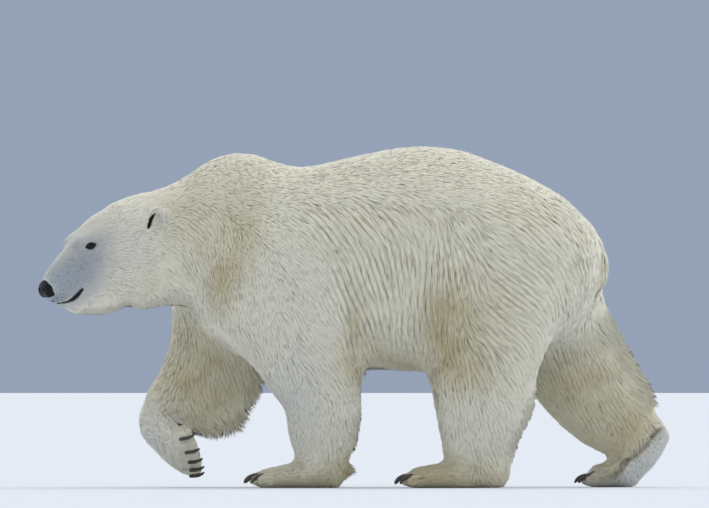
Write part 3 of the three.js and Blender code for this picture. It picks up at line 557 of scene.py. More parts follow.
# Under the leather of the nose the skin keeps well clear.
UNDER_NOSE = (.200, 0, -.084)
NOSE_CLEARANCE = .010
pressed += NOSE_CLEARANCE * (1 - eased(np.linalg.norm(head - UNDER_NOSE, axis=1), .020, .030))
places -= normals_of(skin.data) * pressed[:, None]
set_points(skin.data, places)


# Markings, as strengths from 0 to 1 at each point, shared by skin and coat: warm stains where the coat is
# worn or damp, grey where the hair is thin over dark skin, painted shade that greys the left legs, the left
# shoulder and the raised forepaw, bare dark skin, and dirt on the trailing foot.
OCHRE = [
    # place, radii, strength; stains on both sides have the same place mirrored
    ((-.455, .17, .735), (.075, .16, .13), 1.0, True),
    ((-.400, .17, .84), (.085, .16, .14), .90, True),
    ((-.41, .14, 1.02), (.09, .14, .10), .22, True),
    ((-.52, .12, .92), (.18, .14, .20), .36, True),
    ((.31, .30, .585), (.11, .14, .20), 1.0, True),
    ((-.02, .26, .60), (.035, .12, .16), .65, True),
    ((.02, .26, .50), (.13, .12, .12), .60, True),
    ((.16, .20, .44), (.20, .20, .09), .70, True),
    ((.36, .30, .44), (.13, .14, .11), .70, True),
    ((.40, .28, .62), (.18, .14, .20), .30, True),
    ((-.56, .13, .38), (.17, .24, .20), .75, False),
    ((-.46, .16, .28), (.16, .22, .14), .20, False),
    ((-.50, .12, .56), (.22, .18, .20), .60, False),
    ((-.16, -.12, .01), (.26, .20, .10), .95, False),
    ((-.03, -.12, .07), (.09, .14, .10), 1.0, False),
    ((.32, -.17, .02), (.30, .20, .12), 1.0, False),
    ((.74, .14, .38), (.24, .24, .20), .80, False),
    ((.93, .16, .20), (.17, .18, .19), .85, False),
    ((.86, .0, .80), (.06, .08, .14), .45, False),
]
DIRT = ((.86, .14, .03), (.10, .16, .05), .45)
PAINTED_SHADE_BLOTS = [
    # painted shade: the coat is greyer and duller on the left legs and shoulder, which stand in shade, and on
    # the raised forepaw
    ((-.22, -.25, .28), (.16, .20, .24), .27),
    ((.44, -.25, .22), (.14, .20, .16), .12),
    ((-.70, .14, .20), (.12, .20, .16), .30),
    ((-.25, -.28, .66), (.22, .22, .34), .13),
]
SOLE_EDGE = ((1.058, .215), (1.00, .150), (.955, .100), (.915, .045))  # x and z, on the trailing hind foot
TRAILING_FROM = .88  # x, from where on there is only that foot
GREY = [
    # in the head's frame, mirrored
    ((.13, .04, -.08), (.13, .085, .110), 1.0),
    ((.19, .0, -.125), (.05, .06, .045), .9),
    ((.05, .05, -.05), (.09, .07, .06), .72),
    ((-.01, .07, -.01), (.075, .05, .055), .45),
    ((.03, .03, .02), (.07, .05, .03), .40),
    ((-.258, .145, -.002), (.018, .03, .026), .35),
    ((-.06, .06, -.02), (.22, .14, .15), .34),
    ((.08, .07, -.12), (.08, .08, .05), .25),
]


def blot(points, place, radii):
    return 1 - eased(np.linalg.norm((points - np.array(place)) / np.array(radii), axis=1), .08, 1.38)


def joined_up(total, more):
    return total + more - total * more


def markings(points):
    folded = points * (1, -1, 1)
    ochre, grey = np.zeros(len(points)), np.zeros(len(points))
    for place, radii, strength, both in OCHRE:
        ochre = joined_up(ochre, strength * blot(points, place, radii))
        if both:
            ochre = joined_up(ochre, strength * blot(folded, place, radii))
    place, radii, strength = DIRT
    dirt = strength * blot(points, place, radii)
    # The raised sole of the trailing hind foot is pale, with a dark edge.
    elsewhere = (points[:, 0] <= TRAILING_FROM) | (points[:, 1] <= 0)
    edge = off_line(points[:, [0, 2]], SOLE_EDGE)
    edge[elsewhere] = FAR
    dirt = joined_up(dirt, .9 * (1 - eased(edge, .002, .016)))
    run, rise = np.array(SOLE_EDGE[0]) - np.array(SOLE_EDGE[-1])
    from_end = points[:, [0, 2]] - SOLE_EDGE[-1]
    under = (from_end[:, 0] * rise - from_end[:, 1] * run) / np.hypot(run, rise)
    sole = eased(under, .004, .016) * ~elsewhere
    ochre *= 1 - sole
    local = to_half_head(points)
    for place, radii, strength in GREY:
        grey = joined_up(grey, strength * blot(local, place, radii))
    # Painted shade greys the left legs, the left shoulder and the raised forepaw.
    for place, radii, strength in PAINTED_SHADE_BLOTS:
        grey = joined_up(grey, strength * blot(points, place, radii))
    grey = joined_up(grey, .45 * sole)
    return ochre, grey, dirt


def set_values(mesh, **values):
    for name, value in values.items():
        layer = mesh.attributes.new(name, "FLOAT", "POINT")
        layer.data.foreach_set("value", np.asarray(value, np.float32))


# Bare dark skin: lids, lips and a small pad at the wrist. Painted shade: black in the slit of the ears, and
# round the root of each claw, reaching back along the toe, where shade falls between the toes.
WRIST_PAD = (-.618, .219)  # x and z, on the raised forepaw
CLAW_SHADE_MARK = (.0085, .0035, .026)  # half-width of a claw's painted shade at its root, where it ends, and its length
CLAW_SUNK = .012  # how much of a claw lies in the flesh
local = to_half_head(places)
lids_dark = 1 - eased(dark_lids, .75, 1.15)
# The dark of the lips is a thin line, wider near the corner of the mouth, and uneven.
lip_width = .0026 + .0056 * np.exp(-((local[:, 0] - .104) / .030) ** 2)
lip_width *= 1 + .35 * np.sin(local[:, 0] * 900) * np.sin(local[:, 2] * 1300 + 1)
lips_dark = 1 - eased(mouth_off / lip_width, .7, 1.7)
# Painted shade: the deep slit of each ear is painted black.
ear_slit_shade = 1 - eased(slit_off, .7, 1.25)
claws = [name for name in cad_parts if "claw" in name]
claw_shade_and_wrist_pad = np.zeros(len(places))
for claw in claws:
    points = points_of(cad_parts[claw].data)
    middle = points.mean(0)
    along = np.linalg.svd(points - middle, full_matrices=False)[2][0]
    share = (points - middle) @ along
    round_it = np.linalg.norm(points - middle - share[:, None] * along, axis=1)
    # A claw tapers, so its thicker end is its root.
    if round_it[share > share.max() * .6].mean() > round_it[share < share.min() * .6].mean():
        along, share = -along, -share
    from_root = places - (middle + along * (share.min() + CLAW_SUNK))
    back = -from_root @ along
    wide = CLAW_SHADE_MARK[0] + (CLAW_SHADE_MARK[1] - CLAW_SHADE_MARK[0]) * np.clip(back / CLAW_SHADE_MARK[2], 0, 1)
    off = np.linalg.norm(from_root + back[:, None] * along, axis=1) / wide
    # Painted shade round the claw's root, reaching back along the toe.
    claw_shade = (1 - eased(off, .7, 1.2)) * (1 - eased(back, .02, CLAW_SHADE_MARK[2]))
    claw_shade_and_wrist_pad = np.maximum(claw_shade_and_wrist_pad, claw_shade * (back > -CLAW_SUNK))
pad_off = np.linalg.norm(places[:, [0, 2]] - WRIST_PAD, axis=1)
pad_off[(normals_of(skin.data)[:, 1] > 0) | (places[:, 1] > .15)] = FAR
claw_shade_and_wrist_pad = np.maximum(claw_shade_and_wrist_pad, 1 - eased(pad_off, .005, .010))
face_bare = np.maximum.reduce((lids_dark, lips_dark, ear_slit_shade))
UPPER_LIP = (.165, .03, -.128)
off_upper_lip = np.linalg.norm((local - UPPER_LIP) * (1, .6, 1.3), axis=1)
upper_lip = .42 * (1 - eased(off_upper_lip, .012, .045))
nose_dark = 1 - eased(np.linalg.norm(local - UNDER_NOSE, axis=1), .026, .034)
bare = np.maximum.reduce((face_bare, .9 * claw_shade_and_wrist_pad, nose_dark, upper_lip))
ochre, grey, dirt = markings(places)
set_values(skin.data, ochre=ochre, grey=grey, dirt=dirt, bare=bare)
bpy.ops.object.mode_set(mode="EDIT")
bpy.ops.mesh.select_all(action="SELECT")
bpy.ops.mesh.quads_convert_to_tris()
bpy.ops.uv.smart_project(angle_limit=1.15, island_margin=.001)
bpy.ops.object.mode_set(mode="OBJECT")
skin.data.uv_layers.active.name = "OFBake"


# Colours of the coat, from its markings.
CREAM = (.90, .875, .71, 1)
OCHRE_COLOUR = (.50, .405, .17, 1)
# A greyer cream: the first step of thin hair, and the painted shade on the left legs, shoulder and raised
# forepaw.
THIN_HAIR_AND_SHADE_COLOUR = (.77, .767, .71, 1)
GREY_COLOUR = (.36, .44, .53, 1)
DIRT_COLOUR = (.085, .070, .055, 1)
# Painted shade for the creases and the roots of tufts, darker where the coat is stained.
VALLEY_SHADE_COLOUR = (.42, .37, .22, 1)
STAINED_VALLEY_SHADE = (.19, .14, .05, 1)
# Bare dark skin, and the painted shade in the ears' slits and round the claws.
BARE_AND_SHADE_COLOUR = (.012, .013, .016, 1)


def node_group(name, inputs, outputs):
    group = bpy.data.node_groups.new(name, "ShaderNodeTree")
    for socket, default in inputs:
        added = group.interface.new_socket(socket, in_out="INPUT", socket_type="NodeSocketFloat")
        added.default_value = default
    for socket, kind in outputs:
        group.interface.new_socket(socket, in_out="OUTPUT", socket_type=kind)
    return group, group.nodes.new("NodeGroupInput"), group.nodes.new("NodeGroupOutput")


def attribute(nodes, name):
    node = nodes.new("ShaderNodeAttribute")
    node.attribute_name = name
    return node.outputs["Fac"]


def put_in(tree, socket, value):
    if isinstance(value, bpy.types.NodeSocket):
        tree.links.new(value, socket)
    else:
        socket.default_value = value


def mixed(tree, factor, a, b):
    node = tree.nodes.new("ShaderNodeMix")
    node.data_type = "RGBA"
    for index, value in ((0, factor), (6, a), (7, b)):
        put_in(tree, node.inputs[index], value)
    return node.outputs[2]


def sum_of(tree, operation, a, b, clamp=False):
    node = tree.nodes.new("ShaderNodeMath")
    node.operation = operation
    node.use_clamp = clamp
    for socket, value in zip(node.inputs, (a, b)):
        put_in(tree, socket, value)
    return node.outputs[0]


def texture(tree, kind, scale):
    place = tree.nodes.new("ShaderNodeTexCoord")
    node = tree.nodes.new(kind)
    node.inputs["Scale"].default_value = scale
    tree.links.new(place.outputs["Object"], node.inputs["Vector"])
    return node


def noise(tree, scale, detail=3.0):
    node = texture(tree, "ShaderNodeTexNoise", scale)
    node.inputs["Detail"].default_value = detail
    return node.outputs["Fac"]


def cells(tree, scale):
    return texture(tree, "ShaderNodeTexVoronoi", scale).outputs["Distance"]


coat_colours, given, put = node_group(
    "coat colours", [("Shade", .5), ("Lot", .5)], [("Colour", "NodeSocketColor")]
)
tree = coat_colours
# Stains are stronger in some patches, a hand wide, than in others.
patchy = sum_of(tree, "MULTIPLY_ADD", noise(tree, 11), 1.1)
patchy.node.inputs[2].default_value = .25
stain = sum_of(tree, "MULTIPLY", attribute(tree.nodes, "ochre"), patchy, True)
colour = mixed(tree, stain, CREAM, OCHRE_COLOUR)
# Thin hair first loses its cream, and then the dark skin shows through it, mottled. The first step also
# paints shade on the left legs, the left shoulder and the raised forepaw.
greyness = attribute(tree.nodes, "grey")
colour = mixed(tree, sum_of(tree, "MULTIPLY", greyness, 3.0, True), colour, THIN_HAIR_AND_SHADE_COLOUR)
greyer = sum_of(tree, "MULTIPLY", sum_of(tree, "SUBTRACT", greyness, .33), 1.5, True)
colour = mixed(tree, greyer, colour, GREY_COLOUR)
mottle = sum_of(tree, "MULTIPLY", sum_of(tree, "SUBTRACT", noise(tree, 150, 2), .53), 7.0, True)
mottle = sum_of(tree, "MULTIPLY", sum_of(tree, "MULTIPLY", mottle, greyer), .55)
colour = mixed(tree, mottle, colour, (.09, .11, .14, 1))
grime = sum_of(tree, "MULTIPLY", noise(tree, 34), 1.8)
grime = sum_of(tree, "MULTIPLY", attribute(tree.nodes, "dirt"), grime, True)
colour = mixed(tree, grime, colour, DIRT_COLOUR)
# Painted shade: the coat's creases and the tufts' roots are painted darker and warmer than the tips, where
# shade falls among the hair; and tufts differ a little in tone at random.
painted_shade = mixed(tree, .80, colour, mixed(tree, stain, VALLEY_SHADE_COLOUR, STAINED_VALLEY_SHADE))
colour = mixed(tree, attribute(tree.nodes, "valley"), colour, painted_shade)
# Painted shade at the roots of tufts, lifting towards their tips.
painted_shade = mixed(tree, .20, colour, VALLEY_SHADE_COLOUR)
colour = mixed(tree, given.outputs["Shade"], painted_shade, colour)
paler = mixed(tree, .14, colour, (.95, .95, .93, 1))
colour = mixed(tree, given.outputs["Lot"], colour, paler)
tree.links.new(colour, put.inputs["Colour"])


def material_with(name, roughness, **constants):
    material = bpy.data.materials.new(name)
    material.use_nodes = True
    shader = material.node_tree.nodes["Principled BSDF"]
    shader.inputs["Roughness"].default_value = roughness
    for socket, value in constants.items():
        shader.inputs[socket.replace("_", " ")].default_value = value
    return material, material.node_tree, shader


def grouped(tree, group, **values):
    node = tree.nodes.new("ShaderNodeGroup")
    node.node_tree = group
    for socket, value in values.items():
        put_in(tree, node.inputs[socket], value)
    return node


def clad(piece, material):
    bpy.ops.object.shade_smooth()
    piece.data.materials.clear()
    piece.data.materials.append(material)


def bumped(tree, shader, height, strength, distance):
    node = tree.nodes.new("ShaderNodeBump")
    node.inputs["Strength"].default_value = strength
    node.inputs["Distance"].default_value = distance
    tree.links.new(height, node.inputs["Height"])
    tree.links.new(node.outputs["Normal"], shader.inputs["Normal"])


hide, tree, shader = material_with("short fur and hide", .8, Specular_IOR_Level=.25)
colours = grouped(tree, coat_colours, Shade=.85, Lot=.7)
follicles = cells(tree, 230)
dots = tree.nodes.new("ShaderNodeMapRange")
for socket, value in (("From Min", .18), ("From Max", .42), ("To Min", .75), ("To Max", 0)):
    dots.inputs[socket].default_value = value
tree.links.new(follicles, dots.inputs["Value"])
# Dark follicle dots where the hair is grey, and faintly under the painted shade on the left legs and
# shoulder.
grey_only = sum_of(tree, "MULTIPLY", attribute(tree.nodes, "grey"), dots.outputs["Result"])
colour = mixed(tree, grey_only, colours.outputs["Colour"], (.12, .13, .16, 1))
# Bare dark skin, and the painted shade in the ears' slits and round the claws.
colour = mixed(tree, attribute(tree.nodes, "bare"), colour, BARE_AND_SHADE_COLOUR)
tree.links.new(colour, shader.inputs["Base Color"])
bumped(tree, shader, noise(tree, 420, 4), .5, .0015)
clad(skin, hide)
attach(skin, "root")
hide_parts(*flesh)

# ---- Coat -------------------------------------------------------------------------------------------------
# Guard hair over underfur, as thousands of thin pointed tufts. Each grows from the skin, hugs it along the
# lie of the hair, clings to its neighbours in locks, and rises to the coat's depth at its tip.
chance = np.random.default_rng(7)
LAYERS = 3.0  # how many tufts lie over each other on the body
SHORT_LAYERS = 1.2  # and on the face, whose short flat fur is mostly the skin's own
SHORT, LONG = .010, .034  # hair of these lengths has the short fur's layers and the body's
FILL = .50  # the share of its length times width that a pointed tuft covers
SOLE_UP_TO = .006  # no tuft grows lower than this, under a foot
NOSE_FROM = .180  # nor ahead of this, under the leather of the nose
LOCK_OF = 7  # tufts to a lock

spots = points_of(skin.data)
spot_normals = normals_of(skin.data)
spot_pairs = neighbours_of(skin.data)
spot_lies, spot_kinds = charted(spots)


def unit(vectors):
    return vectors / np.maximum(np.linalg.norm(vectors, axis=1, keepdims=True), 1e-9)


def flat_on(vectors, normals):
    return vectors - normals * (vectors * normals).sum(1, keepdims=True)


def tree_of(points):
    tree = KDTree(len(points))
    for n, point in enumerate(points):
        tree.insert(point, n)
    tree.balance()
    return tree


def nearest(tree, points):
    return np.fromiter((tree.find(point)[1] for point in points), np.int64, len(points))


spot_flat = unit(flat_on(spot_lies, spot_normals))
tree_of_spots = tree_of(spots)


# Creases run along the lie of the hair, evenly apart. Each spot of the skin has a phase, from 0 to 1 across
# one ridge, brought into step with its neighbours' over and over, so ridges run on, part and join as in fur.
CREASE_DEPTH = .0030
CREASE_TURNS = 90
spot_across = unit(np.cross(spot_normals, spot_flat)) / spot_kinds[:, [APART]]
here, there = spot_pairs
between = (spots[here] - spots[there]) * (spot_across[here] + spot_across[there]) / 2
carried = np.exp(2j * math.pi * between.sum(1))
wave = np.exp(2j * math.pi * chance.random(len(spots)))
for turn in range(CREASE_TURNS):
    sent = carried * wave[there]
    wave = wave + np.bincount(here, sent.real, len(spots)) + 1j * np.bincount(here, sent.imag, len(spots))
    wave /= np.maximum(abs(wave), 1e-9)
spot_phase = np.angle(wave) / (2 * math.pi)
uneven = averaged(averaged(averaged(chance.normal(size=len(spots)), spot_pairs), spot_pairs), spot_pairs)
uneven = np.clip(.85 + .45 * uneven / uneven.std(), .1, 1.5)  # how deep each stretch of a crease is
spot_crease = spot_kinds[:, CREASE] * uneven


def creased(points, spot):
    """How high the coat stands on its ridges at each point, how much painted shade its creases get, and their
    lean.
    """
    phase = spot_phase[spot] + ((points - spots[spot]) * spot_across[spot]).sum(1)
    u = 2 * (phase - np.floor(phase)) - 1
    lean = 4 * CREASE_DEPTH * (spot_crease[spot] * u)[:, None] * spot_across[spot]
    return spot_crease[spot] * (1 - u * u), spot_crease[spot] * eased(abs(u), .45, 1), lean


# Painted shade in the creases' valleys, on the skin as on the coat.
_, valley, _ = creased(spots, np.arange(len(spots)))
set_values(skin.data, valley=np.clip(valley, 0, 1))

# Roots, spread evenly over the skin's triangles.
mesh = skin.data
mesh.calc_loop_triangles()
corners = read(mesh.loop_triangles, "vertices", 3, np.int32)
loops = read(mesh.loop_triangles, "loops", 3, np.int32)
uvs = read(mesh.uv_layers["OFBake"].data, "uv", 2)
a, b, c = (spots[corners[:, n]] for n in range(3))
area = np.linalg.norm(np.cross(b - a, c - a), axis=1) / 2
face_kinds = spot_kinds[corners].mean(1)
layers = SHORT_LAYERS + (LAYERS - SHORT_LAYERS) * eased(face_kinds[:, LENGTH], SHORT, LONG)
wanted = area * layers / (face_kinds[:, LENGTH] * face_kinds[:, WIDTH] * FILL)
middle = (a + b + c) / 3
under_foot = middle[:, 2] < SOLE_UP_TO
under_nose = to_head(middle)[:, 0] > NOSE_FROM
wanted *= ~(under_foot | under_nose) * (1 - eased(bare[corners].mean(1), .2, .7))
total = np.cumsum(wanted)
count = int(total[-1])
chosen = np.searchsorted(total, (np.arange(count) + chance.random(count)) * total[-1] / count)
chosen = np.minimum(chosen, len(corners) - 1)
share = chance.random((count, 2))
over = share.sum(1) > 1
share[over] = 1 - share[over]
shares = np.column_stack((1 - share.sum(1), share))
roots = (spots[corners[chosen]] * shares[..., None]).sum(1)
root_normals = unit((spot_normals[corners[chosen]] * shares[..., None]).sum(1))
root_uvs = (uvs[loops[chosen]] * shares[..., None]).sum(1)
lies, kinds = charted(roots)

# Each tuft's path: its root, two bends and its tip. A few stray ones rise above the rest.
STRAYS = .12  # the share that are stray
lengths = kinds[:, LENGTH] * chance.uniform(.75, 1.25, count)
depths = kinds[:, DEPTH]
loose = (.06 + .10 * kinds[:, LOCK])[:, None]
heading = unit(flat_on(lies, root_normals) + flat_on(chance.normal(size=(count, 3)), root_normals) * loose)
RISE = (.66, .95, 1.0)  # how high over the skin each bend and the tip are, as shares of the coat's depth
stray = np.where(chance.random(count) < STRAYS, chance.uniform(.1, .7, count), 0)
path_spots = [nearest(tree_of_spots, roots)]
path = [roots - root_normals * .001]
ground, way = roots, heading
height = chance.uniform(.94, 1.04, count)
covers_bare = np.zeros(count)
ragged = chance.random(len(spots))
for bend, rise in enumerate(RISE):
    ground = ground + way * (lengths / len(RISE))[:, None]
    spot = nearest(tree_of_spots, ground)
    normal = spot_normals[spot]
    ground = ground - normal * ((ground - spots[spot]) * normal).sum(1, keepdims=True)
    ridge, _, _ = creased(ground, spot)
    lift = rise * (depths * (height + stray * (bend / 2)) + CREASE_DEPTH * (ridge - spot_crease[spot]))
    path.append(ground + normal * lift[:, None])
    path_spots.append(spot)
    covers_bare = np.maximum(covers_bare, np.maximum(face_bare, .6 * claw_shade_and_wrist_pad * ragged)[spot])
    way = unit(flat_on(way * .5 + spot_flat[spot] * .5, normal))

# Where the coat stands off, tufts leave the body along their own lie.
LEAVES_AT = .8  # how high in the coat they leave it
STRAIGHT = .62  # how far out they reach, as a share of their length
free = kinds[:, STAND] * eased((lies * root_normals).sum(1), -.10, .50)
for bend in (1, 2, 3):
    reach = (lengths * bend / 3 * STRAIGHT)[:, None]
    out = roots + root_normals * (depths * LEAVES_AT)[:, None] + unit(lies) * reach
    path[bend] += (out - path[bend]) * (free * bend / 3)[:, None]

# Locks: the tufts round a leader draw in to it towards their tips.
leaders = np.flatnonzero(chance.random(count) < 1 / LOCK_OF)
leader = leaders[nearest(tree_of(roots[leaders]), roots)]
apart = roots - roots[leader]
lengths_alike = np.clip(1 - abs(kinds[:, LENGTH] - kinds[leader, LENGTH]) / .03, 0, 1)
cling = kinds[:, LOCK] * lengths_alike
# How much of its distance from the leader a tuft may keep at a bend, and how far it is drawn to that place.
for bend, keep, pull in ((2, .55, .5), (3, .12, .85)):
    goal = path[bend][leader] + apart * keep
    path[bend] += (goal - path[bend]) * (cling * pull)[:, None]
# At each bend: painted shade from the creases, none where hair stands off, and the way it is lit.
valleys, ups = [], []
for place, spot in zip(path, path_spots):
    place[:, 2] = np.maximum(place[:, 2], .0010)
    _, valley, lean = creased(place, spot)
    valleys.append(np.clip(valley, 0, 1) * (1 - free))
    ups.append(unit(spot_normals[spot] + lean))

# A tuft is a thin spindle of three sides: a root point, a ring or two, and a tip. Where it lies, it is lit
# much as the coat's surface is, as fine hair is, and only a little by its own roundness. Where it stands off,
# it is turned broadside to the bear's side.
TUFT_RIDGE = .30  # how far a tuft's ridge stands up, as a share of its width
OWN_ROUND = .38
widths = kinds[:, WIDTH] * chance.uniform(.95, 1.5, count)
lot = chance.random(count)
ochre, grey, dirt = markings(roots)
PATCH = .003  # how much of the skin's UV square a tuft takes, from its root's place in it
RING_HALF = (.5, .42)  # half of each ring's width, as a share of the tuft's


def rings(which, bends):
    """The chosen tufts' vertices, how each is lit and how much painted crease shade it gets.
    A tuft has a root, three vertices to a ring, and a tip."""
    stack, lit, painted_shade = [path[0][which][:, None]], [ups[0][which][:, None]], [valleys[0][which][:, None]]
    own = np.clip(free[which] * 1.7, 0, 1)[:, None]
    sideways = np.sign(root_normals[which, 1:2]) * (0, 1, 0)
    for n, bend in enumerate(bends):
        low, high = int(bend), int(np.ceil(bend))
        centre = (path[low][which] + path[high][which]) / 2
        normal = unit(unit(ups[low][which] + ups[high][which]) * (1 - own) + sideways * own)
        along = unit(path[high + 1][which] - path[low - 1][which])
        across = unit(np.cross(along, normal))
        up = np.cross(across, along)
        half = (widths[which] * RING_HALF[n])[:, None]
        stack.append(np.stack((centre + across * half, centre + up * half * 2 * TUFT_RIDGE,
                               centre - across * half), 1))
        turn = across * OWN_ROUND
        lit.append(np.stack((unit(normal + turn), normal, unit(normal - turn)), 1))
        painted_shade.append(np.repeat(((valleys[low] + valleys[high]) / 2)[which][:, None], 3, 1))
    stack.append(path[3][which][:, None])
    lit.append(unit(ups[3][which] * (1 - own) + sideways * own)[:, None])
    painted_shade.append(valleys[3][which][:, None])
    return np.concatenate(stack, 1), np.concatenate(lit, 1), np.concatenate(painted_shade, 1)


def template(ring_count):
    """A tuft's triangles, and where each of their corners lies in its patch."""
    faces, patch = [], []
    stages = ring_count + 1
    last = 1 + 3 * ring_count
    for side in range(3):
        after = (side + 1) % 3
        column, next_column = side / 3, (side + 1) / 3
        half_way = (column + next_column) / 2
        faces.append((0, 1 + side, 1 + after))
        patch.append(((half_way, 0), (column, 1 / stages), (next_column, 1 / stages)))
        for ring in range(ring_count - 1):
            low, high = (ring + 1) / stages, (ring + 2) / stages
            i, j = 1 + 3 * ring + side, 1 + 3 * ring + after
            faces += [(i, i + 3, j + 3), (i, j + 3, j)]
            patch += [((column, low), (column, high), (next_column, high)),
                      ((column, low), (next_column, high), (next_column, low))]
        i, j = last - 3 + side, last - 3 + after
        faces.append((i, last, j))
        top = ring_count / stages
        patch.append(((column, top), (half_way, 1), (next_column, top)))
    return np.array(faces), np.array(patch)


def coat_piece(name, which, bends):
    """One joined mesh of the chosen tufts."""
    points, lit, painted_shade = rings(which, bends)
    tufts, each = points.shape[:2]
    faces, patch = template(len(bends))
    starts = (np.arange(tufts) * each)[:, None, None]
    corners = (faces[None] + starts).reshape(-1)
    mesh = bpy.data.meshes.new(name)
    mesh.vertices.add(tufts * each)
    mesh.vertices.foreach_set("co", points.astype(np.float32).ravel())
    mesh.loops.add(len(corners))
    mesh.loops.foreach_set("vertex_index", corners.astype(np.int32))
    mesh.polygons.add(len(corners) // 3)
    mesh.polygons.foreach_set("loop_start", np.arange(0, len(corners), 3, dtype=np.int32))
    mesh.polygons.foreach_set("use_smooth", np.ones(len(corners) // 3, bool))
    mesh.update(calc_edges=True)
    mesh.normals_split_custom_set_from_vertices(lit.reshape(-1, 3))
    home = np.clip(root_uvs[which], 0, 1 - PATCH)[:, None, None]
    layer = mesh.uv_layers.new(name="OFBake")
    layer.data.foreach_set("uv", (home + patch[None] * PATCH).astype(np.float32).ravel())
    along = np.concatenate([[0]] + [[(n + 1) / (len(bends) + 1)] * 3 for n in range(len(bends))] + [[1]])
    per_vertex = {key: np.repeat(value[which], each) for key, value in
                  dict(lot=lot, ochre=ochre, grey=grey, dirt=dirt).items()}
    set_values(mesh, along=np.tile(along, tufts), valley=painted_shade.ravel(), **per_vertex)
    piece = placed(name, mesh)
    mesh.materials.append(fur)
    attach(piece, "root")


fur, tree, shader = material_with("fur", .72, Sheen_Weight=.5, Sheen_Roughness=.5)
colours = grouped(tree, coat_colours, Shade=attribute(tree.nodes, "along"), Lot=attribute(tree.nodes, "lot"))
tree.links.new(colours.outputs["Colour"], shader.inputs["Base Color"])

STANDS = .22  # hair that stands off more than this is made with two rings
KEPT_CLEAR = .3  # no tuft lies over skin darker than this: bare lids and lips, and the painted shade in the ears' slits and round the claws
standing = kinds[:, STAND] > STANDS
# The coat is in pieces, each of one part of the body. A tuft belongs to the last of these that its root fits.
x, z, forward = roots[:, 0], roots[:, 2], to_head(roots)[:, 0]
zone = np.full(count, "haunches", dtype="<U16")
for name, fits in (
    ("flanks", x < .42),
    ("barrel", x < .12),
    ("shoulders", x < -.20),
    ("forelegs", (x < .12) & (z < .47)),
    ("hindlegs", (x > .26) & (z < .47)),
    ("neck", x < -.50),
    ("forelegs", (x < -.50) & (z < .52)),
    ("crown", forward > -.30),
    ("face", forward > -.07),
):
    zone[fits] = name
for name in np.unique(zone):
    for side, on_side in (("left", roots[:, 1] < 0), ("right", roots[:, 1] >= 0)):
        for stance, which, bends in (("standing", standing, (1, 2)), ("lying", ~standing, (1.5,))):
            chosen = np.flatnonzero((zone == name) & on_side & which & (covers_bare < KEPT_CLEAR))
            if len(chosen):
                coat_piece(f"coat_{name}_{side}_{stance}", chosen, bends)

# ---- Eyes -------------------------------------------------------------------------------------------------
# Dark brown eyeballs, wet and clear in front. Each is a ball with a slight bulge where it looks, set in its
# own socket behind the lids.
EYE_BULGE = .0012  # how far the clear front stands out
wet, tree, shader = material_with("eye", .14, Specular_IOR_Level=.22, Coat_Weight=.08, Coat_Roughness=.03)
speckle = noise(tree, 600)
brown = mixed(tree, speckle, (.004, .003, .002, 1), (.014, .008, .005, 1))
tree.links.new(brown, shader.inputs["Base Color"])
for side, node in enumerate(("eye_left", "eye_right")):
    bpy.ops.object.select_all(action="DESELECT")
    bpy.ops.mesh.primitive_uv_sphere_add(segments=48, ring_count=24, radius=EYE_RADIUS)
    eyeball = bpy.context.object
    eyeball.name = eyeball.data.name = f"{node}_ball"
    looks = Vector((EYE_LOOKS * (1, 1 - 2 * side, 1)) @ head_axes).normalized()
    for vertex in eyeball.data.vertices:
        facing = max(vertex.co.normalized().dot(looks), 0)
        vertex.co += looks * (EYE_BULGE * facing ** 6) + Vector(middle_of(node))
    clad(eyeball, wet)
    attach(eyeball, "root")
    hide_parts(node)

# ---- Nose -------------------------------------------------------------------------------------------------
# A pad of bare black leather with a pebbled grain, over the end of the muzzle, with two slanting nostrils
# pressed into it. It is rounded from its own solid.
NOSTRIL_AT = np.array((.199, .0155, -.083))
NOSTRIL = (.012, .0065, .0055)  # half its size
NOSTRIL_DEPTH = .007
PAD_GROWN = .001  # the pad stands this much over its solid, to close on the skin round it
PAD_CELL = .0028
pad = object_of("nose_pad", solids_of(["nose"], PAD_GROWN))
applied(pad, "REMESH", mode="VOXEL", voxel_size=PAD_CELL)
points = smoothed(points_of(pad.data), neighbours_of(pad.data), np.full(len(pad.data.vertices), 40.0))
set_points(pad.data, points)
local = to_head(points)
depth = np.zeros(len(local))
for side in (1, -1):
    away = local - NOSTRIL_AT * (1, side, 1)
    off = np.linalg.norm(away / NOSTRIL, axis=1)
    depth = np.maximum(depth, NOSTRIL_DEPTH * (1 - eased(off, .5, 1.25)))
points -= normals_of(pad.data) * depth[:, None]
set_points(pad.data, points)
leather, tree, shader = material_with(
    "nose leather", .45, Specular_IOR_Level=.12, Coat_Weight=.03, Coat_Roughness=.3
)
black = mixed(tree, noise(tree, 120), (.005, .005, .006, 1), (.014, .014, .016, 1))
tree.links.new(black, shader.inputs["Base Color"])
bumped(tree, shader, cells(tree, 480), .35, .0008)
clad(pad, leather)
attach(pad, "root")
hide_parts("nose")

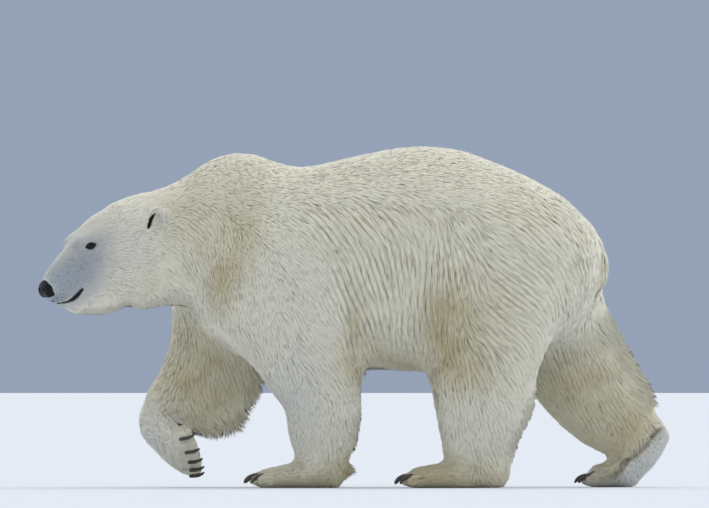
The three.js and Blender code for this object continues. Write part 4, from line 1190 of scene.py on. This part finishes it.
# ---- Claws ------------------------------------------------------------------------------------------------
# Stout curved horn, nearly black with paler streaks, that grows from the end of each toe. Each claw is
# rounded from its own solid.
GROWN_BEFORE, GROWN_AFTER = .0006, .0007  # rounding draws the horn in, so it is grown before and after
horn, tree, shader = material_with("claw horn", .35, Coat_Weight=.15, Coat_Roughness=.3)
streaks = noise(tree, 160)
dark = mixed(tree, streaks, (.020, .016, .013, 1), (.075, .062, .048, 1))
tree.links.new(dark, shader.inputs["Base Color"])
bumped(tree, shader, streaks, .3, .0008)
for node in claws:
    claw = object_of(f"{node}_horn", solids_of([node], GROWN_BEFORE))
    applied(claw, "SUBSURF", levels=2, render_levels=2)
    set_points(claw.data, points_of(claw.data) + normals_of(claw.data) * GROWN_AFTER)
    clad(claw, horn)
    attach(claw, "root")
    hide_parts(node)

# ---- Floor and light --------------------------------------------------------------------------------------
# A plain pale floor under a dull cool sky, lit evenly from all round, with a little more from above and from
# both ends.
FLOOR = (.73, .77, .84, 1)
SKY = (.30, .36, .47, 1)  # as seen, above the floor's far edge
bpy.ops.object.select_all(action="DESELECT")
bpy.ops.mesh.primitive_circle_add(vertices=96, radius=300, fill_type="NGON")
floor = bpy.context.object
floor.name = "floor"
matt, tree, shader = material_with("floor", .95, Specular_IOR_Level=.1)
shader.inputs["Base Color"].default_value = FLOOR
floor.data.materials.append(matt)

world = bpy.data.worlds.new("studio")
bpy.context.scene.world = world
world.use_nodes = True
tree = world.node_tree
light = tree.nodes["Background"]
light.inputs["Color"].default_value = (.96, .98, 1, 1)
light.inputs["Strength"].default_value = .65
seen = tree.nodes.new("ShaderNodeBackground")
seen.inputs["Color"].default_value = SKY
path_node = tree.nodes.new("ShaderNodeLightPath")
shown = tree.nodes.new("ShaderNodeMixShader")
tree.links.new(path_node.outputs["Is Camera Ray"], shown.inputs[0])
tree.links.new(light.outputs[0], shown.inputs[1])
tree.links.new(seen.outputs[0], shown.inputs[2])
tree.links.new(shown.outputs[0], tree.nodes["World Output"].inputs[0])


def sun(name, from_where, spread, strength):
    lit = placed(name, bpy.data.lights.new(name, "SUN"))
    lit.data.angle = math.radians(spread)
    lit.data.energy = strength
    lit.rotation_euler = Vector(from_where).to_track_quat("Z", "Y").to_euler()


sun("sun_over", (.10, .25, 1), 70, .95)
sun("sun_ahead", (-1, .45, .45), 60, .40)
sun("sun_behind", (1, .40, .45), 60, .75)
sun("sun_front", (.45, -1, .3), 60, .12)

bpy.context.scene.view_settings.view_transform = "Standard"
